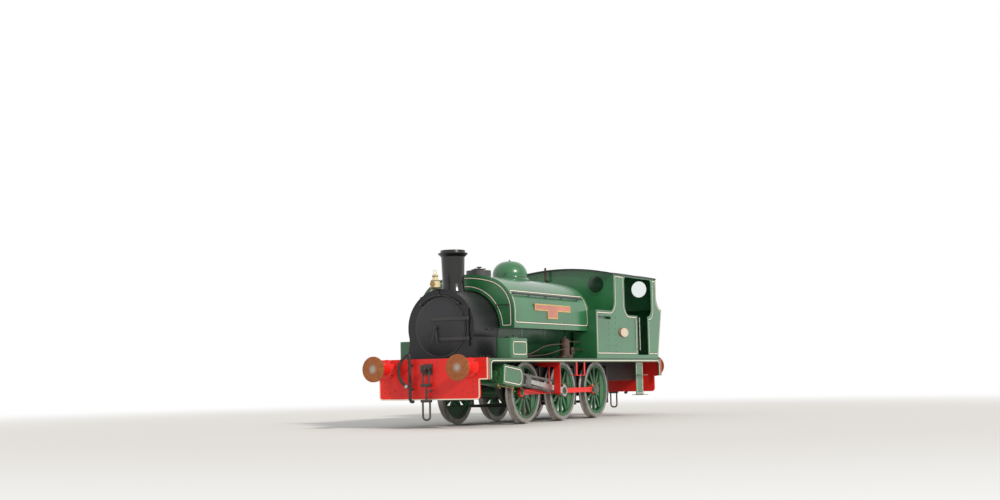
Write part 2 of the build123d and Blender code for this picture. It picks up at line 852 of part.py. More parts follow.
with BuildSketch() as saddle_outline:
    with BuildLine():
        ThreePointArc(flare[0], flare[1], flare[2])
        Line(flare[2], (-saddle_half_y, plate_top_z))
        ThreePointArc(
            (-saddle_half_y, plate_top_z),
            (-flare[1][0], flare[1][1]),
            (-flare[0][0], flare[0][1]),
        )
        Line((-flare[0][0], flare[0][1]), flare[0])
    make_face()

# Smokebox shell with the chimney hole, its front plate with hinge lugs and lamp bracket, and its saddle
with BuildPart() as smokebox:
    with BuildSketch(cross_plane(smokebox_back_x)):
        with Locations((0, boiler_z)):
            Circle(smokebox_r)
            Circle(smokebox_r - smokebox_t, mode=Mode.SUBTRACT)
    extrude(amount=smokebox_front_x - front_plate_t - smokebox_back_x)
    with BuildSketch(Plane.XY.offset(boiler_z)):
        with Locations((chimney_x, 0)):
            Circle(chimney_flue_r)
    extrude(amount=2 * smokebox_r, mode=Mode.SUBTRACT)
save(smokebox, "smokebox")

lug_end_inset = 20
lug_strap_gap = 70
lug_reach = 12
lug_w = 36
lug_t = 30
lamp_shelf_reach = 150
lamp_shelf_w = 60
lamp_shelf_t = 12
lamp_stay_t = 10
lamp_stay_height = 120
with BuildPart() as smokebox_front:
    with BuildSketch(cross_plane(smokebox_front_x - front_plate_t)):
        with Locations((0, boiler_z)):
            Circle(smokebox_r)
        add(saddle_outline.sketch)
        with Locations((0, boiler_z)):
            Circle(door_opening_r, mode=Mode.SUBTRACT)
    extrude(amount=front_plate_t)
    with Locations((door_hinge_x, door_hinge_y, (hinge_bar_low_z + hinge_bar_high_z) / 2)):
        Cylinder(hinge_pin_r, hinge_bar_high_z - hinge_bar_low_z)
    for lug_z in (
        hinge_bar_low_z + lug_end_inset,
        hinge_bar_high_z - lug_end_inset,
        strap_low_z + lug_strap_gap,
        strap_high_z - lug_strap_gap,
    ):
        with Locations(((smokebox_front_x + door_hinge_x) / 2 + lug_reach / 2, door_hinge_y, lug_z)):
            Box(door_hinge_x - smokebox_front_x + lug_reach, lug_w, lug_t)
    with Locations((smokebox_front_x + lamp_shelf_reach / 2, lamp_y, lamp_low_z - lamp_shelf_t / 2)):
        Box(lamp_shelf_reach, lamp_shelf_w, lamp_shelf_t)
    lamp_stay_mid_z = lamp_low_z - lamp_shelf_t - lamp_stay_height / 2
    with Locations((smokebox_front_x + lamp_stay_t / 2, lamp_y, lamp_stay_mid_z)):
        Box(lamp_stay_t, lamp_shelf_w, lamp_stay_height)
save(smokebox_front, "smokebox_front")

with BuildPart() as smokebox_saddle:
    with BuildSketch(cross_plane(smokebox_back_x + saddle_inset_x)):
        add(saddle_outline.sketch)
        with Locations((0, boiler_z)):
            Circle(smokebox_r, mode=Mode.SUBTRACT)
    extrude(amount=smokebox_front_x - front_plate_t - smokebox_back_x - saddle_inset_x)
save(smokebox_saddle, "smokebox_saddle")

# Smokebox door: a dished plate with hinge straps
door_back_plane_x = smokebox_front_x + seat_gap
dome_radius = (door_r ** 2 + door_dome ** 2) / (2 * door_dome)
dish_rise = sqrt(dome_radius ** 2 - (door_r / 2) ** 2)
with BuildPart() as smokebox_door:
    with BuildSketch(Plane(origin=(door_back_plane_x, 0, boiler_z), x_dir=(0, 1, 0), z_dir=(0, 0, -1))):
        with BuildLine():
            Line((0, 0), (door_r, 0))
            Line((door_r, 0), (door_r, door_rim_t))
            ThreePointArc(
                (door_r, door_rim_t),
                (door_r / 2, door_rim_t + door_dome - dome_radius + dish_rise),
                (0, door_rim_t + door_dome),
            )
            Line((0, door_rim_t + door_dome), (0, 0))
        make_face()
    revolve(axis=Axis((0, 0, boiler_z), (1, 0, 0)))
save(smokebox_door, "smokebox_door")

strap_gap = 1
strap_eye_back = 10
strap_eye_front = 12
strap_eye_r = 26
dart_boss_r = 28
dart_boss_length = 70
dart_handles = [
    # reach, lean in degrees
    (38, 6),
    (60, -14),
]
dart_handle_r = 11
dart_handle_length = 280
strap_start_y = {strap_high_z: -130, strap_low_z: 10}


def door_skin(y, height, proud):
    centre_x = door_back_plane_x + door_rim_t + door_dome - dome_radius
    return centre_x + sqrt((dome_radius + proud) ** 2 - height ** 2 - y ** 2), y


# Hinge straps that follow the dish, and two dart handles at the middle of the door
with BuildPart() as door_furniture:
    for strap_z, start_y in strap_start_y.items():
        height = abs(strap_z - boiler_z) - door_strap_w / 2
        edge_y = sqrt(door_r ** 2 - (height + door_strap_w) ** 2)
        inner = [door_skin(y, height, strap_gap) for y in (start_y, (start_y + edge_y) / 2, edge_y)]
        strap_proud = strap_gap + door_strap_t
        outer = [door_skin(y, height, strap_proud) for y in (edge_y, (start_y + edge_y) / 2, start_y)]
        with BuildSketch(Plane.XY.offset(strap_z - door_strap_w / 2)):
            with BuildLine():
                ThreePointArc(*inner)
                Line(inner[2], (door_hinge_x - strap_eye_back, door_hinge_y))
                Line(
                    (door_hinge_x - strap_eye_back, door_hinge_y),
                    (door_hinge_x + strap_eye_front, door_hinge_y),
                )
                Line((door_hinge_x + strap_eye_front, door_hinge_y), outer[0])
                ThreePointArc(*outer)
                Line(outer[2], inner[0])
            make_face()
        extrude(amount=door_strap_w)
        with Locations((door_hinge_x, door_hinge_y, strap_z)):
            Cylinder(strap_eye_r, door_strap_w)
    with Locations((door_hinge_x, door_hinge_y, (hinge_bar_low_z + hinge_bar_high_z) / 2)):
        Cylinder(hinge_pin_r + pin_play, 2 * boiler_z, mode=Mode.SUBTRACT)
    dart_x = door_back_plane_x + door_rim_t + door_dome
    with Locations((dart_x + dart_boss_length / 2, dart_y, boiler_z)):
        Cylinder(dart_boss_r, dart_boss_length, rotation=(0, 90, 0))
    for handle_reach, lean_deg in dart_handles:
        with Locations(Location((dart_x + handle_reach, dart_y, boiler_z), (lean_deg, 0, 0))):
            with Locations((0, 0, -dart_handle_length / 2)):
                Cylinder(dart_handle_r, dart_handle_length)
save(door_furniture, "door_furniture")

# Chimney: flared base cut to the smokebox, tapered barrel and a moulded lip below the cap
chimney_root_z = boiler_z + smokebox_r - chimney_root
chimney_flare_z = boiler_z + smokebox_r
cap_profile = [
    # radius, depth below the top
    (chimney_low_r, chimney_top_z - chimney_flare_z - chimney_root),
    (chimney_high_r, 123),
    (238, 104),
    (chimney_lip_r, 66),
    (272, 52),
    (234, 42),
    (227, 0),
    (chimney_flue_r, 0),
]
with BuildPart() as chimney:
    with BuildSketch(Plane.XZ):
        with BuildLine():
            Line((chimney_x + chimney_flue_r, chimney_root_z), (chimney_x + chimney_base_r, chimney_root_z))
            ThreePointArc(
                (chimney_x + chimney_base_r, chimney_root_z),
                (chimney_x + chimney_flare_r, chimney_flare_z),
                (chimney_x + chimney_low_r, chimney_flare_z + chimney_root),
            )
            Polyline(
                *[(chimney_x + radius, chimney_top_z - depth) for radius, depth in cap_profile],
                (chimney_x + chimney_flue_r, chimney_root_z),
            )
        make_face()
    revolve(axis=Axis((chimney_x, 0, 0), (0, 0, 1)))
    with Locations((chimney_x, 0, boiler_z)):
        Cylinder(smokebox_r, 4 * smokebox_r, rotation=(0, 90, 0), mode=Mode.SUBTRACT)
save(chimney, "chimney")

# Boiler barrel and firebox with the backhead in the cab
bearer_root = 20
bearer_front_inset = 200
bearer_back_inset = 100
barrel_spigot = 20
bearer_w = 60
bearer_root_r = boiler_r - bearer_root
with BuildPart() as boiler_barrel:
    with BuildSketch(cross_plane(boiler_back_x)):
        with Locations((0, boiler_z)):
            Circle(boiler_r)
    extrude(amount=smokebox_back_x - boiler_back_x)
    with BuildSketch(cross_plane(smokebox_back_x)):
        with Locations((0, boiler_z)):
            Circle(smokebox_r - smokebox_t)
    extrude(amount=barrel_spigot)
    for bearer_x in (
        smokebox_back_x - bearer_front_inset,
        (smokebox_back_x + boiler_back_x) / 2,
        boiler_back_x + bearer_back_inset,
    ):
        with BuildSketch(cross_plane(bearer_x)):
            with BuildLine():
                ThreePointArc(
                    (tank_arch_r, boiler_z),
                    (0, boiler_z + tank_arch_r),
                    (-tank_arch_r, boiler_z),
                )
                Line((-tank_arch_r, boiler_z), (-bearer_root_r, boiler_z))
                ThreePointArc(
                    (-bearer_root_r, boiler_z),
                    (0, boiler_z + bearer_root_r),
                    (bearer_root_r, boiler_z),
                )
                Line((bearer_root_r, boiler_z), (tank_arch_r, boiler_z))
            make_face()
        extrude(amount=bearer_w)
save(boiler_barrel, "boiler_barrel")

with BuildPart() as firebox:
    with BuildSketch(cross_plane(firebox_back_x)):
        with Locations((0, boiler_z)):
            Circle(firebox_r)
        with BuildLine():
            Polyline(
                (firebox_r, boiler_z),
                (firebox_half_y, firebox_waist_z),
                (firebox_half_y, firebox_bottom_z),
                (-firebox_half_y, firebox_bottom_z),
                (-firebox_half_y, firebox_waist_z),
                (-firebox_r, boiler_z),
                close=True,
            )
        make_face()
    extrude(amount=boiler_back_x - firebox_back_x)
save(firebox, "firebox")

ashpan_low_z = 400
ashpan_top_length = 1100
ashpan_low_length = 760
ashpan_inset = 100
with BuildPart() as ashpan:
    for level_z, length, half_y in (
        (firebox_bottom_z, ashpan_top_length, firebox_half_y),
        (ashpan_low_z, ashpan_low_length, firebox_half_y - ashpan_inset),
    ):
        with BuildSketch(Plane.XY.offset(level_z)):
            with Locations(((trailing_x + driving_x) / 2, 0)):
                Rectangle(length, 2 * half_y)
    loft()
save(ashpan, "ashpan")

# Saddle tank: crown, shoulders and upright sides over an arch
crown_z = tank_top_z - tank_crown_r
shoulder_y = tank_half_y - tank_shoulder_r
shoulder_z = crown_z + sqrt((tank_crown_r - tank_shoulder_r) ** 2 - shoulder_y ** 2)
blend = asin(shoulder_y / (tank_crown_r - tank_shoulder_r))
blend_point = (tank_crown_r * sin(blend), crown_z + tank_crown_r * cos(blend))
shoulder_mid = (blend + pi / 2) / 2
mid_point = (
    shoulder_y + tank_shoulder_r * sin(shoulder_mid),
    shoulder_z + tank_shoulder_r * cos(shoulder_mid),
)
with BuildPart() as saddle_tank:
    with BuildSketch(cross_plane(tank_back_x)):
        with BuildLine():
            ThreePointArc((-blend_point[0], blend_point[1]), (0, tank_top_z), blend_point)
            ThreePointArc(blend_point, mid_point, (tank_half_y, shoulder_z))
            Polyline(
                (tank_half_y, shoulder_z),
                (tank_half_y, tank_bottom_z),
                (-tank_half_y, tank_bottom_z),
                (-tank_half_y, shoulder_z),
            )
            ThreePointArc(
                (-tank_half_y, shoulder_z),
                (-mid_point[0], mid_point[1]),
                (-blend_point[0], blend_point[1]),
            )
        make_face()
        with Locations((0, boiler_z)):
            Circle(tank_arch_r, mode=Mode.SUBTRACT)
    extrude(amount=tank_front_x - tank_back_x)
    with BuildSketch(Plane.XY.offset(tank_top_z - filler_well)):
        with Locations((filler_x, 0)):
            Circle(filler_bore_r)
    extrude(amount=2 * filler_well, mode=Mode.SUBTRACT)
save(saddle_tank, "saddle_tank")

# Tank filler, its hinged lid, and the dome
lid_hinge_gap = 26
filler_root = 60
ear_foot_reach = 16
ear_foot_w = 64
ear_foot_height = 32
ear_drop = 4
ear_w = 32
ear_height = 40
ear_play = 10
lid_tongue_relief = 1
lid_eye_r = 18
grip_length = 300
grip_w = 26
grip_t = 22
grip_boss_r = 22
grip_height = 56
lid_hinge_x = filler_x - filler_r - lid_hinge_gap
lid_hinge_z = filler_top_z - filler_lid_t / 2
lid_pin_r = 9
lid_ear_y = 52
lid_ear_t = 20
with BuildPart() as tank_filler:
    with BuildSketch(Plane.XY.offset(tank_top_z - filler_root)):
        with Locations((filler_x, 0)):
            Circle(filler_r)
            Circle(filler_bore_r, mode=Mode.SUBTRACT)
    extrude(amount=filler_top_z - filler_lid_t - tank_top_z + filler_root)
    with Locations((0, 0, crown_z)):
        Cylinder(tank_crown_r, 4 * beam_face_x, rotation=(0, 90, 0), mode=Mode.SUBTRACT)
    for ear_y in (-lid_ear_y, lid_ear_y):
        ear_foot_mid_z = filler_top_z - filler_lid_t - ear_foot_height / 2
        with Locations((lid_hinge_x + ear_foot_reach, ear_y, ear_foot_mid_z)):
            Box(ear_foot_w, lid_ear_t, ear_foot_height)
        with Locations((lid_hinge_x, ear_y, lid_hinge_z - ear_drop)):
            Box(ear_w, lid_ear_t, ear_height)
    with Locations((lid_hinge_x, 0, lid_hinge_z)):
        Cylinder(lid_pin_r, 2 * lid_ear_y + lid_ear_t, rotation=(90, 0, 0))
    with Locations((filler_x, 0, filler_top_z)):
        Cylinder(filler_bore_r, 2 * filler_well, mode=Mode.SUBTRACT)
save(tank_filler, "tank_filler")

with BuildPart() as filler_lid:
    with BuildSketch(Plane.XY.offset(filler_top_z - filler_lid_t + seat_gap)):
        with Locations((filler_x, 0)):
            Circle(filler_r)
    extrude(amount=filler_lid_t)
    with Locations(((lid_hinge_x + filler_x) / 2, 0, lid_hinge_z)):
        Box(filler_x - lid_hinge_x, 2 * lid_ear_y - lid_ear_t - ear_play, filler_lid_t - lid_tongue_relief)
    with Locations((lid_hinge_x, 0, lid_hinge_z)):
        Cylinder(lid_eye_r, 2 * lid_ear_y - lid_ear_t - ear_play, rotation=(90, 0, 0))
        Cylinder(lid_pin_r + pin_play, 4 * lid_ear_y, rotation=(90, 0, 0), mode=Mode.SUBTRACT)
    with Locations((filler_x, 0, filler_top_z + grip_height / 2)):
        Box(grip_length, grip_w, grip_t)
        Box(grip_w, grip_length, grip_t)
        Cylinder(grip_boss_r, grip_height)
save(filler_lid, "filler_lid")

dome_flare = 60
dome_foot_drop = 10
dome_sweep = 12
dome_sweep_z = 20
dome_height = dome_top_z - tank_top_z
dome_neck_z = 0.1861702 * dome_height
dome_spring_z = 0.3191489 * dome_height
dome_round_share = 0.72
dome_round_z = 0.2127660 * dome_height
dome_cap_r = 26
dome_cap_height = 40
with BuildPart() as dome:
    with BuildSketch(Plane.XZ):
        with BuildLine():
            Polyline(
                (dome_x, dome_base_z),
                (dome_x + dome_r + dome_flare, dome_base_z),
                (dome_x + dome_r + dome_flare, tank_top_z - dome_foot_drop),
            )
            ThreePointArc(
                (dome_x + dome_r + dome_flare, tank_top_z - dome_foot_drop),
                (dome_x + dome_r + dome_sweep, tank_top_z + dome_sweep_z),
                (dome_x + dome_r, tank_top_z + dome_neck_z),
            )
            Line((dome_x + dome_r, tank_top_z + dome_neck_z), (dome_x + dome_r, tank_top_z + dome_spring_z))
            ThreePointArc(
                (dome_x + dome_r, tank_top_z + dome_spring_z),
                (dome_x + dome_r * dome_round_share, dome_top_z - dome_round_z),
                (dome_x, dome_top_z - dome_cap_height / 2),
            )
            Line((dome_x, dome_top_z - dome_cap_height / 2), (dome_x, dome_base_z))
        make_face()
    revolve(axis=Axis((dome_x, 0, 0), (0, 0, 1)))
    with Locations((0, 0, crown_z)):
        Cylinder(tank_crown_r, 4 * beam_face_x, rotation=(0, 90, 0), mode=Mode.SUBTRACT)
    with Locations((dome_x, 0, dome_top_z - dome_cap_height / 2)):
        Cylinder(dome_cap_r, dome_cap_height)
save(dome, "dome")

# Safety valves on the firebox
valve_x = -1000
valve_spread = 90
valve_mid_height = 110
valve_r = 42
valve_length = 250
valve_seat_height = 15
valve_seat_length = 180
valve_seat_w = 320
valve_seat_t = 60
valve_bar_height = 235
valve_bar_w = 30
valve_bar_length = 230
valve_bar_t = 20
with BuildPart() as safety_valves:
    for step in mirror_sides:
        with Locations((valve_x, step * valve_spread, boiler_z + firebox_r + valve_mid_height)):
            Cylinder(valve_r, valve_length)
    with Locations((valve_x, 0, boiler_z + firebox_r + valve_seat_height)):
        Box(valve_seat_length, valve_seat_w, valve_seat_t)
    with Locations((0, 0, boiler_z)):
        Cylinder(firebox_r, 4 * beam_face_x, rotation=(0, 90, 0), mode=Mode.SUBTRACT)
    with Locations((valve_x, 0, boiler_z + firebox_r + valve_bar_height)):
        Box(valve_bar_w, valve_bar_length, valve_bar_t)
save(safety_valves, "safety_valves")

# Cab: front and back sheets, sides with open doorways, curved roof
roof_crown_z = roof_edge_z - roof_t + (roof_r - sqrt(roof_r ** 2 - roof_half_y ** 2))
roof_centre_z = roof_crown_z - roof_r


def roof_under(y):
    return roof_centre_z + sqrt(roof_r ** 2 - y ** 2)


side_top_z = roof_under(plate_half_y)
opening_top_z = side_top_z - opening_head

inner_half_y = plate_half_y - sheet_t
inner_top_z = roof_under(inner_half_y)
with BuildSketch() as sheet_outline:
    with BuildLine():
        ThreePointArc((-inner_half_y, inner_top_z), (0, roof_crown_z), (inner_half_y, inner_top_z))
        Polyline(
            (inner_half_y, inner_top_z),
            (inner_half_y, plate_top_z),
            (-inner_half_y, plate_top_z),
            (-inner_half_y, inner_top_z),
        )
    make_face()
    with Locations((window_y, window_z), (-window_y, window_z)):
        Circle(window_r, mode=Mode.SUBTRACT)

with BuildPart() as cab_front:
    with BuildSketch(cross_plane(cab_front_x - sheet_t)):
        add(sheet_outline.sketch)
        with BuildLine():
            ThreePointArc((firebox_r, boiler_z), (0, boiler_z + firebox_r), (-firebox_r, boiler_z))
            Polyline(
                (-firebox_r, boiler_z),
                (-firebox_r, plate_top_z),
                (firebox_r, plate_top_z),
                (firebox_r, boiler_z),
            )
        make_face(mode=Mode.SUBTRACT)
    extrude(amount=sheet_t)
save(cab_front, "cab_front")

with BuildPart() as cab_back:
    with BuildSketch(cross_plane(cab_back_x)):
        add(sheet_outline.sketch)
        with Locations((0, (plate_top_z + cab_waist_z - sheet_t) / 2)):
            Rectangle(2 * plate_half_y, cab_waist_z - sheet_t - plate_top_z, mode=Mode.SUBTRACT)
    extrude(amount=sheet_t)
    with BuildSketch(side_plane(inner_half_y)):
        with BuildLine():
            Polyline(
                (bunker_foot_x, plate_top_z),
                (bunker_waist_x, cab_waist_z),
                (cab_back_x + sheet_t, cab_waist_z),
                (cab_back_x + sheet_t, cab_waist_z - sheet_t),
                (bunker_waist_x + sheet_t, cab_waist_z - sheet_t),
                (bunker_foot_x + sheet_t, plate_top_z),
                close=True,
            )
        make_face()
    extrude(amount=2 * inner_half_y)
save(cab_back, "cab_back")

# Cab sides: the opening has rounded corners and narrows to the doorway
sill_curve = opening_start_z - opening_sill_z
with BuildSketch() as cab_opening:
    with BuildLine():
        Polyline(
            (opening_front_x, opening_start_z),
            (opening_front_x, opening_top_z),
            (opening_back_x, opening_top_z),
            (opening_back_x, opening_sill_z),
            (door_back_x, opening_sill_z),
            (door_back_x, floor_z),
            (door_front_x, floor_z),
            (door_front_x, opening_sill_z),
            (opening_front_x - sill_curve, opening_sill_z),
        )
        RadiusArc(
            (opening_front_x - sill_curve, opening_sill_z),
            (opening_front_x, opening_start_z),
            -sill_curve,
        )
    make_face()
    fillet(cab_opening.vertices().group_by(Axis.X)[0].sort_by(Axis.Y)[0], radius=opening_rear_r)
    fillet(cab_opening.vertices().group_by(Axis.Y)[-1], radius=opening_corner_r)

for name, side in (("left", 1), ("right", -1)):
    with BuildPart() as cab_side:
        with BuildSketch(side_plane(side * plate_half_y)):
            with BuildLine():
                Polyline(
                    (cab_front_x, side_top_z),
                    (cab_front_x, plate_top_z),
                    (bunker_foot_x, plate_top_z),
                    (bunker_waist_x, cab_waist_z),
                )
                RadiusArc(
                    (bunker_waist_x, cab_waist_z),
                    (cab_back_x, cab_waist_top_z),
                    -waist_sweep_r,
                )
                Line((cab_back_x, cab_waist_top_z), (cab_back_x, side_top_z))
                Line((cab_back_x, side_top_z), (cab_front_x, side_top_z))
            make_face()
            add(cab_opening.sketch, mode=Mode.SUBTRACT)
        extrude(amount=side * sheet_t)
    save(cab_side, f"cab_side_{name}")

with BuildPart() as cab_roof:
    with BuildSketch(cross_plane(cab_back_x - roof_back_overhang)):
        with BuildLine():
            roof_rim_z = roof_under(roof_half_y)
            ThreePointArc((-roof_half_y, roof_rim_z), (0, roof_crown_z), (roof_half_y, roof_rim_z))
            Line((roof_half_y, roof_rim_z), (roof_half_y, roof_rim_z + roof_t))
            ThreePointArc(
                (roof_half_y, roof_rim_z + roof_t),
                (0, roof_crown_z + roof_t),
                (-roof_half_y, roof_rim_z + roof_t),
            )
            Line((-roof_half_y, roof_rim_z + roof_t), (-roof_half_y, roof_rim_z))
        make_face()
    extrude(amount=cab_front_x - cab_back_x + roof_overhang + roof_back_overhang)
save(cab_roof, "cab_roof")

joist_inset = 60
joist_w = 80
joist_short = 100
with BuildPart() as cab_floor:
    floor_front_x = firebox_back_x
    floor_back_x = bunker_foot_x + sheet_t
    with Locations(((floor_front_x + floor_back_x) / 2, 0, floor_z - floor_t / 2)):
        Box(floor_front_x - floor_back_x, 2 * inner_half_y, floor_t)
    floor_mid_x = (floor_front_x + floor_back_x) / 2
    for joist_x in (floor_front_x - joist_inset, floor_mid_x, floor_back_x + joist_inset):
        with Locations((joist_x, 0, (plate_top_z + floor_z - floor_t) / 2)):
            Box(joist_w, 2 * inner_half_y - joist_short, floor_z - floor_t - plate_top_z)
save(cab_floor, "cab_floor")

# Spectacle rims and glass in both cab sheets
with BuildPart() as window_rims:
    for rim_x in (cab_front_x, cab_back_x - rim_t):
        with BuildSketch(cross_plane(rim_x)):
            with Locations((window_y, window_z), (-window_y, window_z)):
                Circle(window_r + rim_w)
                Circle(window_r - 8, mode=Mode.SUBTRACT)
        extrude(amount=rim_t)
save(window_rims, "window_rims")

with BuildPart() as window_glass:
    for glass_x in (cab_front_x - sheet_t / 2 - glass_t / 2, cab_back_x + sheet_t / 2 - glass_t / 2):
        with BuildSketch(cross_plane(glass_x)):
            with Locations((window_y, window_z), (-window_y, window_z)):
                Circle(window_r - seat_gap)
        extrude(amount=glass_t)
save(window_glass, "window_glass")

# Cab fittings on the backhead, and the hand brake column
brake_column_x = -2250
brake_column_y = 880
door_ring_t = 30
fire_door_drop = 60
fire_door_half_w = 200
fire_door_half_height = 150
regulator_r = 45
regulator_reach = 120
regulator_height = 420
regulator_handle_reach = 110
handle_offset_y = 120
handle_t = 24
handle_length = 420
handle_w = 40
gauge_spread = 300
gauge_reach = 30
gauge_height = 250
gauge_r = 20
gauge_length = 300
cock_low_height = 120
cock_high_height = 380
cock_reach = 60
cock_w = 56
column_foot_r = 90
column_foot_t = 20
column_r = 32
column_height = 900
brake_bar_w = 36
brake_bar_length = 360
brake_bar_t = 30
brake_grip_offset = 165
brake_grip_r = 20
brake_grip_length = 120
with BuildPart() as cab_fittings:
    with BuildSketch(cross_plane(firebox_back_x - door_ring_t)):
        with Locations((0, boiler_z - fire_door_drop)):
            Ellipse(fire_door_half_w, fire_door_half_height)
    extrude(amount=door_ring_t)
    with Locations((firebox_back_x - regulator_reach / 2, 0, boiler_z + regulator_height)):
        Cylinder(regulator_r, regulator_reach, rotation=(0, 90, 0))
    with Locations((firebox_back_x - regulator_handle_reach, handle_offset_y, boiler_z + regulator_height)):
        Box(handle_t, handle_length, handle_w)
    for gauge_y in (-gauge_spread, gauge_spread):
        with Locations((firebox_back_x - gauge_reach, gauge_y, boiler_z + gauge_height)):
            Cylinder(gauge_r, gauge_length)
        for cock_z in (boiler_z + cock_low_height, boiler_z + cock_high_height):
            with Locations((firebox_back_x - gauge_reach, gauge_y, cock_z)):
                Box(cock_reach, cock_w, cock_w)
    with BuildSketch(Plane.XY.offset(floor_z)):
        with Locations((brake_column_x, -brake_column_y)):
            Circle(column_foot_r)
    extrude(amount=column_foot_t)
    with Locations((brake_column_x, -brake_column_y, floor_z + column_foot_t / 2 + column_height / 2)):
        Cylinder(column_r, column_height)
    with Locations((brake_column_x, -brake_column_y, floor_z + column_height)):
        Box(brake_bar_w, brake_bar_length, brake_bar_t)
    brake_grip_z = floor_z + column_height + brake_grip_length / 2
    with Locations((brake_column_x, -brake_column_y - brake_grip_offset, brake_grip_z)):
        Cylinder(brake_grip_r, brake_grip_length)
save(cab_fittings, "cab_fittings")

# Side bunkers beside the firebox, swept up to the cab sheet
with BuildPart() as side_bunkers:
    with BuildSketch(side_plane(plate_half_y)):
        with BuildLine():
            Polyline(
                (cab_front_x, plate_top_z),
                (bunker_front_x, plate_top_z),
                (bunker_front_x, bunker_top_z),
                (cab_front_x, bunker_top_z),
                close=True,
            )
        make_face()
    extrude(amount=plate_half_y - bunker_inner_y)
    with BuildSketch(side_plane(plate_half_y)):
        with BuildLine():
            Line((cab_front_x, bunker_top_z), (cab_front_x + bunker_fillet, bunker_top_z))
            RadiusArc(
                (cab_front_x + bunker_fillet, bunker_top_z),
                (cab_front_x, bunker_top_z + bunker_fillet),
                bunker_fillet,
            )
            Line((cab_front_x, bunker_top_z + bunker_fillet), (cab_front_x, bunker_top_z))
        make_face()
    extrude(amount=sheet_t)
    with BuildSketch(side_plane(plate_half_y)):
        slot_mid_x = (bunker_slot_front_x + bunker_slot_back_x) / 2
        with Locations((slot_mid_x, (bunker_slot_low_z + bunker_slot_high_z) / 2)):
            Rectangle(bunker_slot_front_x - bunker_slot_back_x, bunker_slot_high_z - bunker_slot_low_z)
    extrude(amount=bunker_slot_depth, mode=Mode.SUBTRACT)
    notch_back_x = tank_back_x - bunker_tank_gap
    notch_w = tank_half_y + bunker_tank_gap
    notch_low_z = tank_bottom_z - bunker_tank_gap
    with Locations(((bunker_front_x + notch_back_x) / 2, notch_w / 2, (notch_low_z + bunker_top_z) / 2)):
        Box(bunker_front_x - notch_back_x, notch_w, bunker_top_z - notch_low_z, mode=Mode.SUBTRACT)
    mirror(about=Plane.XZ)
save(side_bunkers, "side_bunkers")

# Sandboxes on the running plate, with lids
sand_mid_x = (sandbox_front_x + sandbox_back_x) / 2
sand_mid_y = plate_half_y - sandbox_inset_y - sandbox_w / 2
sand_corner_r = 45
sand_lid_r = 110
sand_lid_t = 26
with BuildPart() as sandboxes:
    with Locations((sand_mid_x, sand_mid_y, (plate_top_z + sandbox_top_z) / 2)):
        Box(sandbox_front_x - sandbox_back_x, sandbox_w, sandbox_top_z - plate_top_z)
    fillet(sandboxes.edges().filter_by(Axis.Z), radius=sand_corner_r)
    fillet(sandboxes.faces().sort_by(Axis.Z)[-1].edges(), radius=sand_corner_r / 3)
    with BuildSketch(Plane.XY.offset(sandbox_top_z)):
        with Locations((sand_mid_x, sand_mid_y)):
            Circle(sand_lid_r)
    extrude(amount=sand_lid_t)
    mirror(about=Plane.XZ)
save(sandboxes, "sandboxes")

# Handrails along the tank and beside the doorways, and a curved one over the smokebox door
tank_rail_front_inset = 30
tank_rail_back_inset = 293
tank_rail_y = shoulder_y + sqrt(tank_shoulder_r ** 2 - (rail_z - shoulder_z) ** 2)
tank_rail_front_x = tank_front_x - tank_rail_front_inset
tank_rail_back_x = tank_back_x + tank_rail_back_inset
tank_rail_inset = 60
stanchions = 5
stanchion_r = 12
stanchion_root = 10
door_rail_proud = 50
door_rail_inset = 15
door_rail_r = 11
door_rail_low_z = 1400
door_rail_high_z = 2100
door_foot_inset = 20
door_foot_r = 9
arc_rail_r = 580
arc_rail_deg = 43
arc_rail_proud = 48
arc_rail_x = smokebox_front_x + arc_rail_proud
arc_wire_r = 12
arc_ends = []
for arc_deg in (-arc_rail_deg, 0, arc_rail_deg):
    arc_ends.append((arc_rail_r * sin(radians(arc_deg)), boiler_z + arc_rail_r * cos(radians(arc_deg))))
with BuildPart() as handrails:
    for side in mirror_sides:
        with Locations(((tank_rail_front_x + tank_rail_back_x) / 2, side * rail_y, rail_z)):
            Cylinder(rail_r, tank_rail_front_x - tank_rail_back_x, rotation=(0, 90, 0))
        for step in range(stanchions):
            share = step / (stanchions - 1)
            rail_run = tank_rail_front_x - tank_rail_back_x - 2 * tank_rail_inset
            post_x = tank_rail_front_x - tank_rail_inset - share * rail_run
            with Locations((post_x, side * (tank_rail_y - stanchion_root + rail_y) / 2, rail_z)):
                Cylinder(stanchion_r, rail_y - tank_rail_y + stanchion_root, rotation=(90, 0, 0))
        door_rail_x = door_front_x + door_rail_inset
        door_rail_y = plate_half_y + door_rail_proud
        with Locations((door_rail_x, side * door_rail_y, (door_rail_low_z + door_rail_high_z) / 2)):
            Cylinder(door_rail_r, door_rail_high_z - door_rail_low_z)
        for foot_z in (door_rail_low_z + door_foot_inset, door_rail_high_z - door_foot_inset):
            with Locations((door_rail_x, side * (plate_half_y + door_rail_y) / 2, foot_z)):
                Cylinder(door_foot_r, door_rail_proud, rotation=(90, 0, 0))
        with Locations((0, side * shoulder_y, shoulder_z)):
            Cylinder(tank_shoulder_r, 4 * beam_face_x, rotation=(0, 90, 0), mode=Mode.SUBTRACT)
    with BuildLine():
        ThreePointArc(*[(arc_rail_x, y, z) for y, z in arc_ends])
    arc_lean = (0, cos(radians(arc_rail_deg)), sin(radians(arc_rail_deg)))
    with BuildSketch(Plane(origin=(arc_rail_x, *arc_ends[0]), z_dir=arc_lean)):
        Circle(arc_wire_r)
    sweep()
    for y, z in arc_ends:
        with Locations(((smokebox_front_x + arc_rail_x) / 2, y, z)):
            Cylinder(arc_wire_r, arc_rail_x - smokebox_front_x, rotation=(0, 90, 0))
        with Locations((arc_rail_x, y, z)):
            Sphere(2 * arc_wire_r)
save(handrails, "handrails")

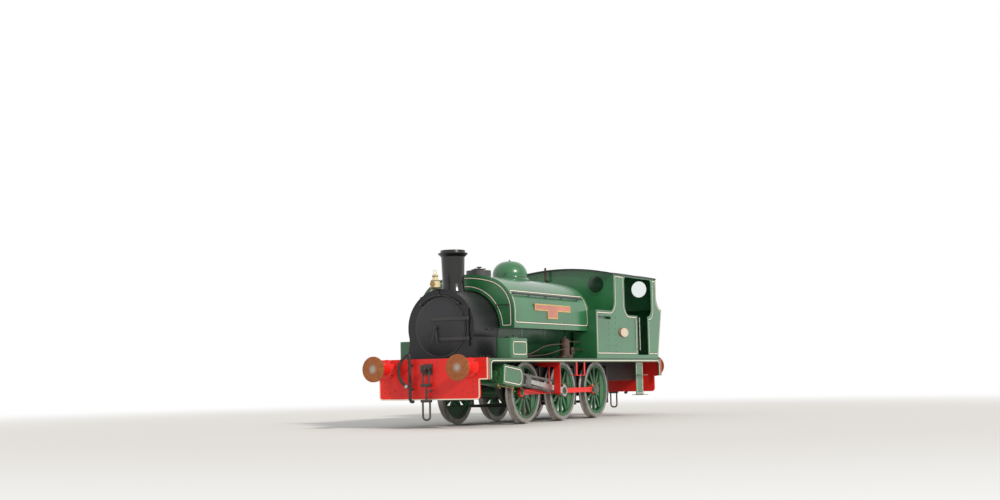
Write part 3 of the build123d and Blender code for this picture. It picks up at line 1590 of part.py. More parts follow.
# Cab steps: one hanging plate each side with two treads through it, and middle footsteps on straps
step_x = (door_front_x + door_back_x) / 2
step_w = 380
step_t = 12
step_hang_y = plate_half_y - 116
step_inner_y = plate_half_y - 216
step_foot_z = 440
step_treads = [446, 870]
with BuildPart() as cab_steps:
    for side in mirror_sides:
        with Locations((step_x, side * step_hang_y, (plate_bottom_z + step_foot_z) / 2)):
            Box(step_w, step_t, plate_bottom_z - step_foot_z)
        for tread_z in step_treads:
            with Locations((step_x, side * (step_inner_y + plate_half_y) / 2, tread_z)):
                Box(step_w, plate_half_y - step_inner_y, step_t)
save(cab_steps, "cab_steps")

middle_step_x = driving_x - 20
middle_step_w = 400
middle_step_z = 890
middle_step_depth = 130
middle_strap_w = 50
middle_strap_y = plate_half_y - valance_t - seat_gap
with BuildPart() as middle_steps:
    for side in mirror_sides:
        with Locations((middle_step_x, side * (middle_strap_y - middle_step_depth / 2), middle_step_z)):
            Box(middle_step_w, middle_step_depth, step_t)
        for end in mirror_sides:
            strap_x = middle_step_x + end * (middle_step_w - middle_strap_w) / 2
            strap_mid_z = (plate_bottom_z + middle_step_z) / 2
            with Locations((strap_x, side * (middle_strap_y - step_t / 2), strap_mid_z)):
                Box(middle_strap_w, step_t, plate_bottom_z - middle_step_z)
save(middle_steps, "middle_steps")

# Vacuum brake pipes at both ends, with a hanging hose at the front
pipe_proud = 105
clip_levels = (700, 1120)
pipe_r = 27
pipe_x = beam_face_x + pipe_proud
pipe_y = -320
pipe_low_z = 480
pipe_bend_r = 60
neck_bend_r = 36
clip_w = 30
clip_depth = 40
hose_route = [
    # y, z
    (-403, 1290),
    (-467, 1242),
    (-516, 1179),
    (-547.5, 1105.5),
    (-558.5, 1026),
    (-549, 947),
    (-519, 872.5),
    (-471, 808.5),
    (-408, 759),
]
neck_y, neck_z = hose_route[0]
neck_slope = (neck_z - hose_route[1][1]) / (neck_y - hose_route[1][0])
neck_top_z = neck_z + (pipe_y - neck_y) * neck_slope
with BuildPart() as vacuum_pipes:
    for end in mirror_sides:
        with BuildLine():
            FilletPolyline(
                (end * beam_face_x, end * pipe_y, pipe_low_z),
                (end * pipe_x, end * pipe_y, pipe_low_z),
                (end * pipe_x, end * pipe_y, neck_top_z),
                (end * pipe_x, end * neck_y, neck_z),
                radius=[pipe_bend_r, neck_bend_r],
            )
        with BuildSketch(Plane(origin=(end * beam_face_x, end * pipe_y, pipe_low_z), z_dir=(end, 0, 0))):
            Circle(pipe_r)
        sweep(transition=Transition.ROUND)
        for clip_z in clip_levels:
            with Locations((end * (beam_face_x + pipe_x) / 2, end * pipe_y, clip_z)):
                Box(pipe_x - beam_face_x, clip_w, clip_depth)
save(vacuum_pipes, "vacuum_pipes")

hose_round_share = 0.45
hose_r = 27.5
hose_points = [Vector(pipe_x, y, z) for y, z in hose_route]
hose_radii = []
for before, at, after in zip(hose_points, hose_points[1:], hose_points[2:]):
    turn = (at - before).get_angle(after - at)
    run = min((at - before).length, (after - at).length)
    hose_radii.append(hose_round_share * run / tan(radians(turn / 2)))
print("hose radii", [round(r) for r in hose_radii])
with BuildPart() as vacuum_hose:
    with BuildLine() as hose_line:
        FilletPolyline(*hose_points, radius=hose_radii)
    with BuildSketch(Plane(origin=hose_points[0], z_dir=hose_points[1] - hose_points[0])):
        Circle(hose_r)
    sweep()
hose_length = hose_line.wires()[0].length
hose_share = vacuum_hose.part.volume / (pi * hose_r ** 2 * hose_length)
print("hose length", round(hose_length), "volume share", hose_share)
save(vacuum_hose, "vacuum_hose")

coupling_clip_share = 0.75
coupling_r = 36
coupling_length = 34
coupling_neck_r = 27
coupling_neck_length = 14
with BuildPart() as hose_coupling:
    tail = (hose_points[-1] - hose_points[-2]).normalized()
    for start, radius, length in (
        (0, coupling_r, coupling_length),
        (coupling_length, coupling_neck_r, coupling_neck_length),
    ):
        with BuildSketch(Plane(origin=hose_points[-1] + tail * start, z_dir=tail)):
            Circle(radius)
        extrude(amount=length)
    held = hose_points[-1] + tail * (coupling_clip_share * coupling_length)
    with Locations(((beam_face_x + pipe_x) / 2, held.Y, held.Z)):
        Box(pipe_x - beam_face_x, clip_w, clip_w)
save(hose_coupling, "hose_coupling")

# Head lamp on its bracket at the top of the smokebox front: body, shoulder, vent, cap, ring handle and lens
lamp_reach = 92
lamp_lens_height = 82
lamp_socket_mid = 70
lamp_socket_t = 32
lamp_socket_height = 90
lamp_x = smokebox_front_x + lamp_reach
lamp_body_r = 82
lamp_vent_r = 50
lamp_lens_r = 54
lamp_lens_t = 26
lamp_ring_r = 34
lamp_wire_r = 6
lamp_socket_w = 22
lamp_profile = [
    # radius below, radius above, height
    (lamp_body_r + 6, lamp_body_r + 6, 16),
    (lamp_body_r, lamp_body_r, 132),
    (lamp_body_r, lamp_vent_r, 28),
    (lamp_vent_r, lamp_vent_r, 62),
    (lamp_vent_r + 10, lamp_vent_r + 10, 10),
    (lamp_vent_r, 16, 26),
]
with BuildPart() as head_lamp:
    level_z = lamp_low_z
    for low_r, high_r, height in lamp_profile:
        with Locations((lamp_x, lamp_y, level_z + height / 2)):
            if low_r == high_r:
                Cylinder(low_r, height)
            else:
                Cone(low_r, high_r, height)
        level_z += height
    with Locations((lamp_x, lamp_y, level_z + lamp_ring_r - lamp_wire_r)):
        Torus(lamp_ring_r, lamp_wire_r, rotation=(0, 90, 0))
    with Locations((lamp_x + lamp_body_r, lamp_y, lamp_low_z + lamp_lens_height)):
        Cylinder(lamp_lens_r, lamp_lens_t, rotation=(0, 90, 0))
    for step in mirror_sides:
        with Locations((lamp_x, lamp_y + step * lamp_body_r, lamp_low_z + lamp_socket_mid)):
            Box(lamp_socket_t, lamp_socket_w, lamp_socket_height)
save(head_lamp, "head_lamp")

# Whistle on the cab front
whistle_gap = 45
whistle_mid = 150
whistle_r = 22
whistle_length = 260
whistle_flange_mid = 15
whistle_flange_r = 34
whistle_flange_t = 20
whistle_stay_w = 30
whistle_x = cab_front_x + roof_overhang + whistle_gap
whistle_y = -310
whistle_low_z = 2900
with BuildPart() as whistle:
    with Locations((whistle_x, whistle_y, whistle_low_z + whistle_mid)):
        Cylinder(whistle_r, whistle_length)
    with Locations((whistle_x, whistle_y, whistle_low_z + whistle_flange_mid)):
        Cylinder(whistle_flange_r, whistle_flange_t)
    with Locations(((cab_front_x + whistle_x) / 2, whistle_y, whistle_low_z)):
        Box(whistle_x - cab_front_x, whistle_stay_w, whistle_stay_w)
save(whistle, "whistle")

# Blank plates on the tank sides and cab sides
plate_proud = 8
tank_plates = [
    # back x, front x, low z, high z
    (240, 1752, 2122, 2252),
    (795, 1222, 1978, 2122),
]
oval_x = -1884
oval_z = 1765
oval_half_w = 200
oval_half_height = 98
oval_proud = 30
with BuildPart() as name_plates:
    with BuildSketch(side_plane(tank_half_y + plate_proud)):
        for back_x, fore_x, low_z, high_z in tank_plates:
            with Locations(((back_x + fore_x) / 2, (low_z + high_z) / 2)):
                Rectangle(fore_x - back_x, high_z - low_z)
    extrude(amount=plate_proud)
    with BuildSketch(side_plane(plate_half_y + oval_proud)):
        with Locations((oval_x, oval_z)):
            Ellipse(oval_half_w, oval_half_height)
    extrude(amount=oval_proud)
    mirror(about=Plane.XZ)
save(name_plates, "name_plates")
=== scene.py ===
import json
from math import asin, atan2, cos, degrees, pi, radians, sin

import bpy
from mathutils import Matrix, Vector


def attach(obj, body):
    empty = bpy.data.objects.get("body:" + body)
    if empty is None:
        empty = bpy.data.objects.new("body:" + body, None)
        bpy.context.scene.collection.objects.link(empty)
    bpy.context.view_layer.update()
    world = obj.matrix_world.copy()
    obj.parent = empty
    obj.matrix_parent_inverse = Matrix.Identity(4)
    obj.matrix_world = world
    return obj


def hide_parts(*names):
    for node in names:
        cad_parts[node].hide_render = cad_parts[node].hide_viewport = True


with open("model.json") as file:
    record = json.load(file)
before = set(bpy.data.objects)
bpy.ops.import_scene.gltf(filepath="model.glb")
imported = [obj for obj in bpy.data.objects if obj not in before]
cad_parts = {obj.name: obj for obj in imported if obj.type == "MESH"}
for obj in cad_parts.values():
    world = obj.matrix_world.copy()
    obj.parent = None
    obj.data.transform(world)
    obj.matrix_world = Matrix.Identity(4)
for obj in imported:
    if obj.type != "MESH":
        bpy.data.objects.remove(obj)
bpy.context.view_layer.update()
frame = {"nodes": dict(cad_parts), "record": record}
record = frame["record"]
nodes = frame["nodes"]
print("frame loaded,", len(nodes), "nodes")


# camera, at the height and place that the picture was taken from
cameraSetup = {
    "place": (24.519, 12.915, 0.88),
    "aim": (1.415, 0.0),
    "turn": -0.004,
    "pitch": 0.093,
    "roll": -0.021,
    "lens": 49.16,
    "sensor": 36.0,
    "reach": 400,
}


def makeCamera(c):
    place = Vector(c["place"])
    heading = atan2(c["aim"][1] - place.y, c["aim"][0] - place.x) + c["turn"]
    forward = Vector((cos(heading) * cos(c["pitch"]), sin(heading) * cos(c["pitch"]), sin(c["pitch"])))
    right = forward.cross(Vector((0, 0, 1))).normalized()
    up = right.cross(forward)
    tiltedRight = cos(c["roll"]) * right + sin(c["roll"]) * up
    tiltedUp = cos(c["roll"]) * up - sin(c["roll"]) * right
    bpy.ops.object.camera_add(location=place)
    camera = bpy.context.object
    camera.name = "photoCamera"
    turned = Matrix((tiltedRight, tiltedUp, -forward)).transposed()
    camera.rotation_euler = turned.to_euler()
    camera.data.lens = c["lens"]
    camera.data.sensor_width = c["sensor"]
    camera.data.clip_end = c["reach"]
    bpy.context.scene.camera = camera


makeCamera(cameraSetup)


def tube(name, points, radius, order, fine, rounds, pointRadius=1.0):
    # a round tube along a smooth line, closed at both ends
    data = bpy.data.curves.new(name, "CURVE")
    data.dimensions = "3D"
    line = data.splines.new("NURBS")
    line.points.add(len(points) - 1)
    for point, place in zip(line.points, points):
        point.co = (*place, 1)
        point.radius = pointRadius
    line.order_u = order
    line.use_endpoint_u = True
    data.resolution_u = fine
    data.bevel_depth = radius / pointRadius
    data.bevel_resolution = rounds
    data.use_fill_caps = True
    piece = bpy.data.objects.new(name, data)
    bpy.context.scene.collection.objects.link(piece)
    return piece


# vacuum hose: the route that the model's own tube follows, in metres
hoseSetup = {
    "pointRadius": 0.05,
    "order": 3,
    "fine": 10,
    "rounds": 5,
    "x": 4.02,
    "route": [
        (-0.403, 1.29), (-0.467, 1.242), (-0.516, 1.179), (-0.5475, 1.1055), (-0.5585, 1.026),
        (-0.549, 0.947), (-0.519, 0.8725), (-0.471, 0.8085), (-0.408, 0.759),
    ],
    "length": 0.637,
    "diameter": 0.055,
}


def makeHose(c):
    points = [(c["x"], y, z) for y, z in c["route"]]
    hose = tube("vacuumHose", points, c["diameter"] / 2, c["order"], c["fine"], c["rounds"], c["pointRadius"])
    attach(hose, "root")
    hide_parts("vacuum_hose")
    return hose


hose = makeHose(hoseSetup)
print("camera and hose")


# floor, white surroundings and soft lamps
studioSetup = {
    "floorHalf": 90.0,
    "floorColour": (0.8, 0.79, 0.77, 1),
    "fadeStart": 9.0,
    "fadeEnd": 26.0,
    "diffuseSky": 0.62,
    "skyColour": (1, 1, 1, 1),
    "sunPlace": (6, 16, 11),
    "sunFrom": (0.3, 0.8, 0.52),
    "sunStrength": 2.1,
    "sunAngle": 6.0,
    "sunColour": (1.0, 0.95, 0.87),
}


def buildTree(tree, kinds, links):
    # the nodes by name with their settings, then what feeds what
    tree.nodes.clear()
    made = {}
    for name, (kind, settings) in kinds.items():
        made[name] = tree.nodes.new(kind)
        for key, value in settings.items():
            if key in made[name].inputs:
                made[name].inputs[key].default_value = value
            else:
                setattr(made[name], key, value)
    for source, output, target, socket in links:
        tree.links.new(made[source].outputs[output], made[target].inputs[socket])


def makeStudio(c):
    bpy.ops.object.select_all(action="DESELECT")
    bpy.ops.mesh.primitive_plane_add(size=2 * c["floorHalf"], location=(0, 0, 0))
    floor = bpy.context.object
    floor.name = "floor"
    paint = bpy.data.materials.new("floorPaint")
    paint.use_nodes = True
    larger = {"operation": "MAXIMUM"}
    buildTree(paint.node_tree, {
        "place": ("ShaderNodeTexCoord", {}),
        "reach": ("ShaderNodeVectorMath", {"operation": "LENGTH"}),
        "fade": ("ShaderNodeMapRange", {"interpolation_type": "SMOOTHSTEP", "From Min": c["fadeStart"],
                                        "From Max": c["fadeEnd"]}),
        "path": ("ShaderNodeLightPath", {}),
        "seen": ("ShaderNodeMath", larger),
        "share": ("ShaderNodeMath", {"operation": "MULTIPLY"}),
        "matt": ("ShaderNodeBsdfDiffuse", {"Color": c["floorColour"]}),
        "glow": ("ShaderNodeEmission", {}),
        "mix": ("ShaderNodeMixShader", {}),
        "out": ("ShaderNodeOutputMaterial", {}),
    }, [
        ("place", "Object", "reach", 0), ("reach", "Value", "fade", "Value"),
        ("path", "Is Camera Ray", "seen", 0), ("path", "Is Glossy Ray", "seen", 1),
        ("fade", "Result", "share", 0), ("seen", "Value", "share", 1), ("share", "Value", "mix", "Fac"),
        ("matt", "BSDF", "mix", 1), ("glow", "Emission", "mix", 2), ("mix", "Shader", "out", "Surface"),
    ])
    floor.data.materials.append(paint)

    world = bpy.data.worlds.new("studio")
    bpy.context.scene.world = world
    world.use_nodes = True
    buildTree(world.node_tree, {
        "path": ("ShaderNodeLightPath", {}),
        "first": ("ShaderNodeMath", larger),
        "second": ("ShaderNodeMath", larger),
        "level": ("ShaderNodeMapRange", {"To Min": c["diffuseSky"], "To Max": 1.0}),
        "back": ("ShaderNodeBackground", {"Color": c["skyColour"]}),
        "out": ("ShaderNodeOutputWorld", {}),
    }, [
        ("path", "Is Camera Ray", "first", 0), ("path", "Is Glossy Ray", "first", 1),
        ("first", "Value", "second", 0), ("path", "Is Transmission Ray", "second", 1),
        ("second", "Value", "level", "Value"), ("level", "Result", "back", "Strength"),
        ("back", "Background", "out", "Surface"),
    ])

    bpy.ops.object.light_add(type="SUN", location=c["sunPlace"])
    sun = bpy.context.object
    sun.name = "softSun"
    sun.data.energy = c["sunStrength"]
    sun.data.angle = radians(c["sunAngle"])
    sun.data.color = c["sunColour"]
    sun.rotation_euler = Vector(c["sunFrom"]).to_track_quat("Z", "Y").to_euler()
    bpy.context.scene.view_settings.view_transform = "Standard"


makeStudio(studioSetup)
print("studio")


# finishes: colours are linear, the other columns are shares from 0 to 1
paintColumns = ("colour", "rough", "coat", "grime", "patch")
paintRows = {
    "green": ((0.022, 0.15, 0.052), 0.27, 0.5, 0.25, 0.16),
    "cladding": ((0.02, 0.11, 0.045), 0.35, 0.2, 0.35, 0.2),
    "wheelGreen": ((0.02, 0.125, 0.045), 0.4, 0.1, 0.65, 0.25),
    "red": ((0.8, 0.014, 0.008), 0.42, 0.05, 0.04, 0.05),
    "smokeboxBlack": ((0.006, 0.006, 0.008), 0.36, 0.0, 0.05, 0.3),
    "frameBlack": ((0.022, 0.021, 0.021), 0.5, 0.0, 0.75, 0.3),
    "roofBlack": ((0.042, 0.042, 0.045), 0.62, 0.0, 0.1, 0.35),
    "lampCream": ((0.76, 0.64, 0.38), 0.3, 0.4, 0.1, 0.1),
    "cream": ((0.86, 0.82, 0.64), 0.35, 0.3, 0.05, 0.05),
    "doorBlack": ((0.016, 0.017, 0.02), 0.46, 0.0, 0.08, 0.35),
    "chimneyBlack": ((0.006, 0.006, 0.006), 0.21, 0.1, 0.1, 0.45),
    "plateRed": ((0.56, 0.2, 0.14), 0.4, 0.2, 0.15, 0.15),
    # a darker copy of the red, as painted shade: rivet heads and bolts on the red beams show as dark dots
    "redPaintedShade": ((0.33, 0.02, 0.014), 0.4, 0.1, 0.2, 0.15),
    "lampDark": ((0.06, 0.045, 0.028), 0.4, 0.1, 0.2, 0.2),
    # a darker copy of the green, as painted shade: rivet heads on the green sheets show as dark dots
    "greenPaintedShade": ((0.012, 0.085, 0.03), 0.32, 0.3, 0.25, 0.16),
    "strapBlack": ((0.026, 0.025, 0.025), 0.38, 0.1, 0.12, 0.25),
    "fillerGrey": ((0.05, 0.052, 0.05), 0.42, 0.1, 0.15, 0.25),
    "plateCream": ((0.64, 0.54, 0.4), 0.36, 0.2, 0.12, 0.1),
    "pipeBrown": ((0.075, 0.04, 0.026), 0.45, 0.1, 0.3, 0.3),
    "liningBlack": ((0.016, 0.02, 0.016), 0.34, 0.2, 0.15, 0.1),
}
grimeColour = (0.105, 0.08, 0.058, 1)
metalColumns = ("colour", "rough", "stain", "amount")
metalRows = {
    "tyreSteel": ((0.36, 0.34, 0.32), 0.38, (0.16, 0.12, 0.09), 0.45),
    "brightSteel": ((0.5, 0.49, 0.47), 0.3, (0.24, 0.2, 0.16), 0.3),
    "couplingSteel": ((0.1, 0.09, 0.085), 0.48, (0.16, 0.075, 0.035), 0.4),
    "brass": ((0.72, 0.5, 0.19), 0.26, (0.3, 0.17, 0.06), 0.3),
    "doorSteel": ((0.085, 0.082, 0.08), 0.26, (0.04, 0.035, 0.03), 0.5),
    "motionSteel": ((0.19, 0.18, 0.17), 0.34, (0.05, 0.04, 0.035), 0.6),
    "lampBrass": ((0.36, 0.25, 0.1), 0.3, (0.12, 0.08, 0.04), 0.4),
    "darkBronze": ((0.085, 0.062, 0.038), 0.4, (0.03, 0.025, 0.02), 0.5),
}


class Tree:
    # small wrapper, so that a finish reads as a few short lines
    def __init__(self, name):
        self.material = bpy.data.materials.new(name)
        self.material.use_nodes = True
        self.nodes = self.material.node_tree.nodes
        self.links = self.material.node_tree.links
        self.shader = self.nodes["Principled BSDF"]
        self.place = self.nodes.new("ShaderNodeTexCoord").outputs["Object"]

    def link(self, source, target):
        self.links.new(source, target)

    def feed(self, socket, value):
        # a socket of the shader takes a plain value, or what a node gives
        if isinstance(value, (int, float, tuple)):
            self.shader.inputs[socket].default_value = value
        else:
            self.link(value, self.shader.inputs[socket])

    def noise(self, scale, detail=4.0, rough=0.55, stretch=None):
        node = self.nodes.new("ShaderNodeTexNoise")
        node.inputs["Scale"].default_value = scale
        node.inputs["Detail"].default_value = detail
        node.inputs["Roughness"].default_value = rough
        source = self.place
        if stretch:
            mapping = self.nodes.new("ShaderNodeMapping")
            mapping.inputs["Scale"].default_value = stretch
            self.link(self.place, mapping.inputs["Vector"])
            source = mapping.outputs["Vector"]
        self.link(source, node.inputs["Vector"])
        return node.outputs["Fac"]

    def ramp(self, value, low, high, start=0.0, end=1.0):
        node = self.nodes.new("ShaderNodeMapRange")
        node.interpolation_type = "SMOOTHSTEP"
        for key, number in (("From Min", low), ("From Max", high), ("To Min", start), ("To Max", end)):
            node.inputs[key].default_value = number
        self.link(value, node.inputs["Value"])
        return node.outputs["Result"]

    def maths(self, operation, first, second):
        node = self.nodes.new("ShaderNodeMath")
        node.operation = operation
        for slot, value in enumerate((first, second)):
            if isinstance(value, (int, float)):
                node.inputs[slot].default_value = value
            else:
                self.link(value, node.inputs[slot])
        return node.outputs["Value"]

    def mix(self, factor, first, second):
        node = self.nodes.new("ShaderNodeMix")
        node.data_type = "RGBA"
        if isinstance(factor, (int, float)):
            node.inputs["Factor"].default_value = factor
        else:
            self.link(factor, node.inputs["Factor"])
        for slot, value in ((6, first), (7, second)):
            if isinstance(value, tuple):
                node.inputs[slot].default_value = value if len(value) == 4 else (*value, 1)
            else:
                self.link(value, node.inputs[slot])
        return node.outputs[2]

    def axis(self, letter):
        node = self.nodes.new("ShaderNodeSeparateXYZ")
        self.link(self.place, node.inputs["Vector"])
        return node.outputs[letter]

    def bump(self, height, strength, distance):
        node = self.nodes.new("ShaderNodeBump")
        node.inputs["Strength"].default_value = strength
        node.inputs["Distance"].default_value = distance
        self.link(height, node.inputs["Height"])
        self.link(node.outputs["Normal"], self.shader.inputs["Normal"])


def scaled(colour, share):
    return tuple(min(1.0, part * share) for part in colour)


# paint: large faded patches, dirt that is heavier low down, streaks and specks
paintSetup = {
    "patch": (1.7, 5.0), "patchRamp": (0.32, 0.68), "dirtFoot": 0.35, "dirtTop": 1.35, "dirtEverywhere": 0.22,
    "streak": (5.0, 6.0, 0.65, (1.0, 1.0, 0.35)), "streakRamp": (0.42, 0.75),
    "speck": (38.0, 3.0), "speckRamp": (0.55, 0.8), "speckShare": 0.35, "dirtMost": 0.85,
    "dirtRough": 0.4, "patchRough": 0.07, "coatRough": 0.16,
    "wave": (3.2, 2.0), "grain": (90.0, 2.0), "grainShare": 0.08, "bump": (0.25, 0.004),
}


def paintFinish(name, c):
    t = Tree(name)
    p = paintSetup
    patch = t.ramp(t.noise(*p["patch"]), *p["patchRamp"])
    base = t.mix(patch, scaled(c["colour"], 1 - c["patch"]), scaled(c["colour"], 1 + c["patch"]))
    low = t.ramp(t.axis("Z"), p["dirtFoot"], p["dirtTop"], 1.0, 0.0)
    streak = t.ramp(t.noise(*p["streak"]), *p["streakRamp"])
    speck = t.ramp(t.noise(*p["speck"]), *p["speckRamp"])
    marks = t.maths("ADD", streak, t.maths("MULTIPLY", speck, p["speckShare"]))
    dirt = t.maths("MULTIPLY", t.maths("ADD", low, p["dirtEverywhere"]), marks)
    dirt = t.maths("MINIMUM", t.maths("MULTIPLY", dirt, c["grime"]), p["dirtMost"])
    t.feed("Base Color", t.mix(dirt, base, grimeColour))
    worn = t.ramp(patch, 0.0, 1.0, c["rough"], c["rough"] + p["patchRough"])
    t.feed("Roughness", t.maths("ADD", t.maths("MULTIPLY", dirt, p["dirtRough"]), worn))
    t.feed("Coat Weight", c["coat"])
    t.feed("Coat Roughness", p["coatRough"])
    grain = t.maths("MULTIPLY", t.noise(*p["grain"]), p["grainShare"])
    t.bump(t.maths("ADD", t.noise(*p["wave"]), grain), *p["bump"])
    return t.material


metalSetup = {"stain": (7.0, 6.0, 0.62), "stainRamp": (0.44, 0.72), "stainRough": 0.5, "metallic": 0.85,
              "grain": (60.0, 3.0), "bump": (0.18, 0.002)}


def metalFinish(name, c):
    t = Tree(name)
    m = metalSetup
    stain = t.ramp(t.noise(*m["stain"]), *m["stainRamp"])
    stain = t.maths("MULTIPLY", stain, c["amount"])
    t.feed("Base Color", t.mix(stain, c["colour"], c["stain"]))
    t.feed("Roughness", t.maths("ADD", t.maths("MULTIPLY", stain, m["stainRough"]), c["rough"]))
    t.feed("Metallic", m["metallic"])
    t.bump(t.noise(*m["grain"]), *m["bump"])
    return t.material


# buffer faces: rust, rubbed bare round the middle
bufferSetup = {
    "y": 0.87, "z": 1.066, "worn": 0.055, "wornEdge": 0.09, "ragged": 0.08,
    "rust": (0.42, 0.135, 0.036), "deep": (0.28, 0.09, 0.028), "bare": (0.4, 0.36, 0.32),
    "blotch": (22.0, 6.0, 0.65), "blotchRamp": (0.35, 0.65), "rough": (0.62, 0.36), "metallic": (0.35, 0.9),
    "grain": (120.0, 3.0), "bump": (0.35, 0.002),
}


def bufferFinish(name, c):
    t = Tree(name)
    side = t.maths("SUBTRACT", t.maths("ABSOLUTE", t.axis("Y"), 0), c["y"])
    high = t.maths("SUBTRACT", t.axis("Z"), c["z"])
    squares = t.maths("ADD", t.maths("MULTIPLY", side, side), t.maths("MULTIPLY", high, high))
    blotch = t.noise(*c["blotch"])
    rust = t.mix(t.ramp(blotch, *c["blotchRamp"]), c["deep"], c["rust"])
    ragged = t.maths("ADD", t.maths("SQRT", squares, 0), t.maths("MULTIPLY", blotch, c["ragged"]))
    worn = t.ramp(ragged, c["worn"], c["worn"] + c["wornEdge"], 1.0, 0.0)
    t.feed("Base Color", t.mix(worn, rust, c["bare"]))
    t.feed("Roughness", t.ramp(worn, 0.0, 1.0, *c["rough"]))
    t.feed("Metallic", t.ramp(worn, 0.0, 1.0, *c["metallic"]))
    t.bump(t.noise(*c["grain"]), *c["bump"])
    return t.material


# handrails: black along the tank and bright at the doorways
railSetup = {
    "doorway": 1.24, "edge": 0.004, "black": (0.014, 0.014, 0.014), "rubbed": (0.026, 0.025, 0.024),
    "steel": (0.52, 0.51, 0.49), "dull": (0.3, 0.28, 0.25), "worn": (14.0, 5.0), "wornRamp": (0.4, 0.75),
    "metallic": (0.0, 0.8), "rough": (0.3, 0.45), "grain": (60.0, 3.0), "bump": (0.18, 0.002),
}


def railFinish(name, c):
    t = Tree(name)
    bright = t.ramp(t.maths("ABSOLUTE", t.axis("Y"), 0), c["doorway"], c["doorway"] + c["edge"])
    worn = t.ramp(t.noise(*c["worn"]), *c["wornRamp"])
    black = t.mix(worn, c["black"], c["rubbed"])
    t.feed("Base Color", t.mix(bright, black, t.mix(worn, c["steel"], c["dull"])))
    t.feed("Metallic", t.ramp(bright, 0.0, 1.0, *c["metallic"]))
    t.feed("Roughness", t.ramp(worn, 0.0, 1.0, *c["rough"]))
    t.bump(t.noise(*c["grain"]), *c["bump"])
    return t.material


# hose rubber: moulded rings under dust
rubberSetup = {"rings": 22.0, "uneven": 0.3, "dust": (18.0, 5.0), "dustRamp": (0.4, 0.75), "rough": 0.55,
               "clean": (0.022, 0.019, 0.018), "dusty": (0.075, 0.052, 0.042), "bump": (0.7, 0.004)}


def rubberFinish(name, c):
    t = Tree(name)
    rings = t.nodes.new("ShaderNodeTexWave")
    rings.bands_direction = "Z"
    rings.inputs["Scale"].default_value = c["rings"]
    rings.inputs["Distortion"].default_value = c["uneven"]
    t.link(t.place, rings.inputs["Vector"])
    dust = t.ramp(t.noise(*c["dust"]), *c["dustRamp"])
    t.feed("Base Color", t.mix(dust, c["clean"], c["dusty"]))
    t.feed("Roughness", c["rough"])
    t.bump(rings.outputs["Fac"], *c["bump"])
    return t.material


# floor boards: grain along the cab, trodden grey
boardSetup = {
    "grain": (9.0, 8.0, 0.7, (0.25, 6.0, 6.0)), "worn": (2.5, 4.0), "wornRamp": (0.35, 0.7), "wornShare": 0.5,
    "dark": (0.095, 0.055, 0.03), "light": (0.3, 0.19, 0.11), "trodden": (0.1, 0.09, 0.08), "rough": 0.75,
    "bump": (0.4, 0.003),
}


def boardFinish(name, c):
    t = Tree(name)
    grain = t.noise(*c["grain"])
    worn = t.ramp(t.noise(*c["worn"]), *c["wornRamp"])
    wood = t.mix(grain, c["dark"], c["light"])
    t.feed("Base Color", t.mix(t.maths("MULTIPLY", worn, c["wornShare"]), wood, c["trodden"]))
    t.feed("Roughness", c["rough"])
    t.bump(grain, *c["bump"])
    return t.material


# cab glass with a film of soot
glassSetup = {"film": (6.0, 5.0), "filmRamp": (0.4, 0.8, 0.03, 0.22), "colour": (0.85, 0.9, 0.88, 1),
              "bend": 1.45}


def glassFinish(name, c):
    t = Tree(name)
    t.feed("Roughness", t.ramp(t.noise(*c["film"]), *c["filmRamp"]))
    t.feed("Base Color", c["colour"])
    t.feed("Transmission Weight", 1.0)
    t.feed("IOR", c["bend"])
    return t.material


materials = {}
for name, row in paintRows.items():
    materials[name] = paintFinish(name + "Paint", dict(zip(paintColumns, row)))
for name, row in metalRows.items():
    materials[name] = metalFinish(name, dict(zip(metalColumns, row)))
materials["bufferRust"] = bufferFinish("bufferRust", bufferSetup)
materials["railBlack"] = railFinish("railBlack", railSetup)
materials["rubber"] = rubberFinish("hoseRubber", rubberSetup)
materials["boards"] = boardFinish("floorBoards", boardSetup)
materials["glass"] = glassFinish("cabGlass", glassSetup)
finishOfSlot = {
    "green_paint": "green", "red_paint": "red", "smokebox_black": "smokeboxBlack",
    "black_frames": "frameBlack", "boiler_cladding": "cladding", "roof_black": "roofBlack",
    "wheel_green": "wheelGreen",
    "tyre_steel": "tyreSteel", "bright_steel": "brightSteel", "coupling_steel": "couplingSteel",
    "rusty_steel": "bufferRust", "brass_fittings": "brass", "lamp_enamel": "lampCream",
    "hose_rubber": "rubber", "floor_boards": "boards", "cab_glass": "glass",
}
finishOfNode = {
    "handrails": "railBlack", "door_furniture": "strapBlack", "tank_filler": "fillerGrey",
    "filler_lid": "fillerGrey", "name_plates": "plateRed", "slide_bars": "motionSteel",
    "crossheads": "motionSteel", "whistle": "darkBronze", "smokebox_door": "doorBlack",
    "chimney": "chimneyBlack",
}
for part in record["subparts"]:
    mesh = nodes[part["node"]].data
    mesh.materials.clear()
    finish = finishOfNode.get(part["node"], finishOfSlot[part["material_slot"]])
    mesh.materials.append(materials[finish])
hose.data.materials.append(materials["rubber"])
print("finishes")


# bench: every new piece starts from a primitive, is shaped in edit mode and put on its body
benchSetup = {
    "smoothAngle": 35, "merge": 1e-5, "tiny": 1e-6, "almost": 0.999,
    "leastSteps": 3, "stepSlack": 0.05, "stepSize": 2.2,  # how finely a corner is spun
    "pipeOrder": 3, "barOrder": 2, "pipeFine": 6, "pipeRounds": 3,
}


def editAll():
    bpy.ops.object.mode_set(mode="EDIT")
    bpy.ops.mesh.select_mode(type="VERT")
    bpy.ops.mesh.select_all(action="SELECT")


def applyAll(piece):
    bpy.ops.object.select_all(action="DESELECT")
    piece.select_set(True)
    bpy.context.view_layer.objects.active = piece
    bpy.ops.object.transform_apply(location=True, rotation=True, scale=True)
    for modifier in list(piece.modifiers):
        bpy.ops.object.modifier_apply(modifier=modifier.name)


def mirrorAcross(piece, ends=False, sides=True):
    mirror = piece.modifiers.new("otherSide", "MIRROR")
    mirror.use_axis = (ends, sides, False)
    mirror.use_mirror_merge = False
    return piece


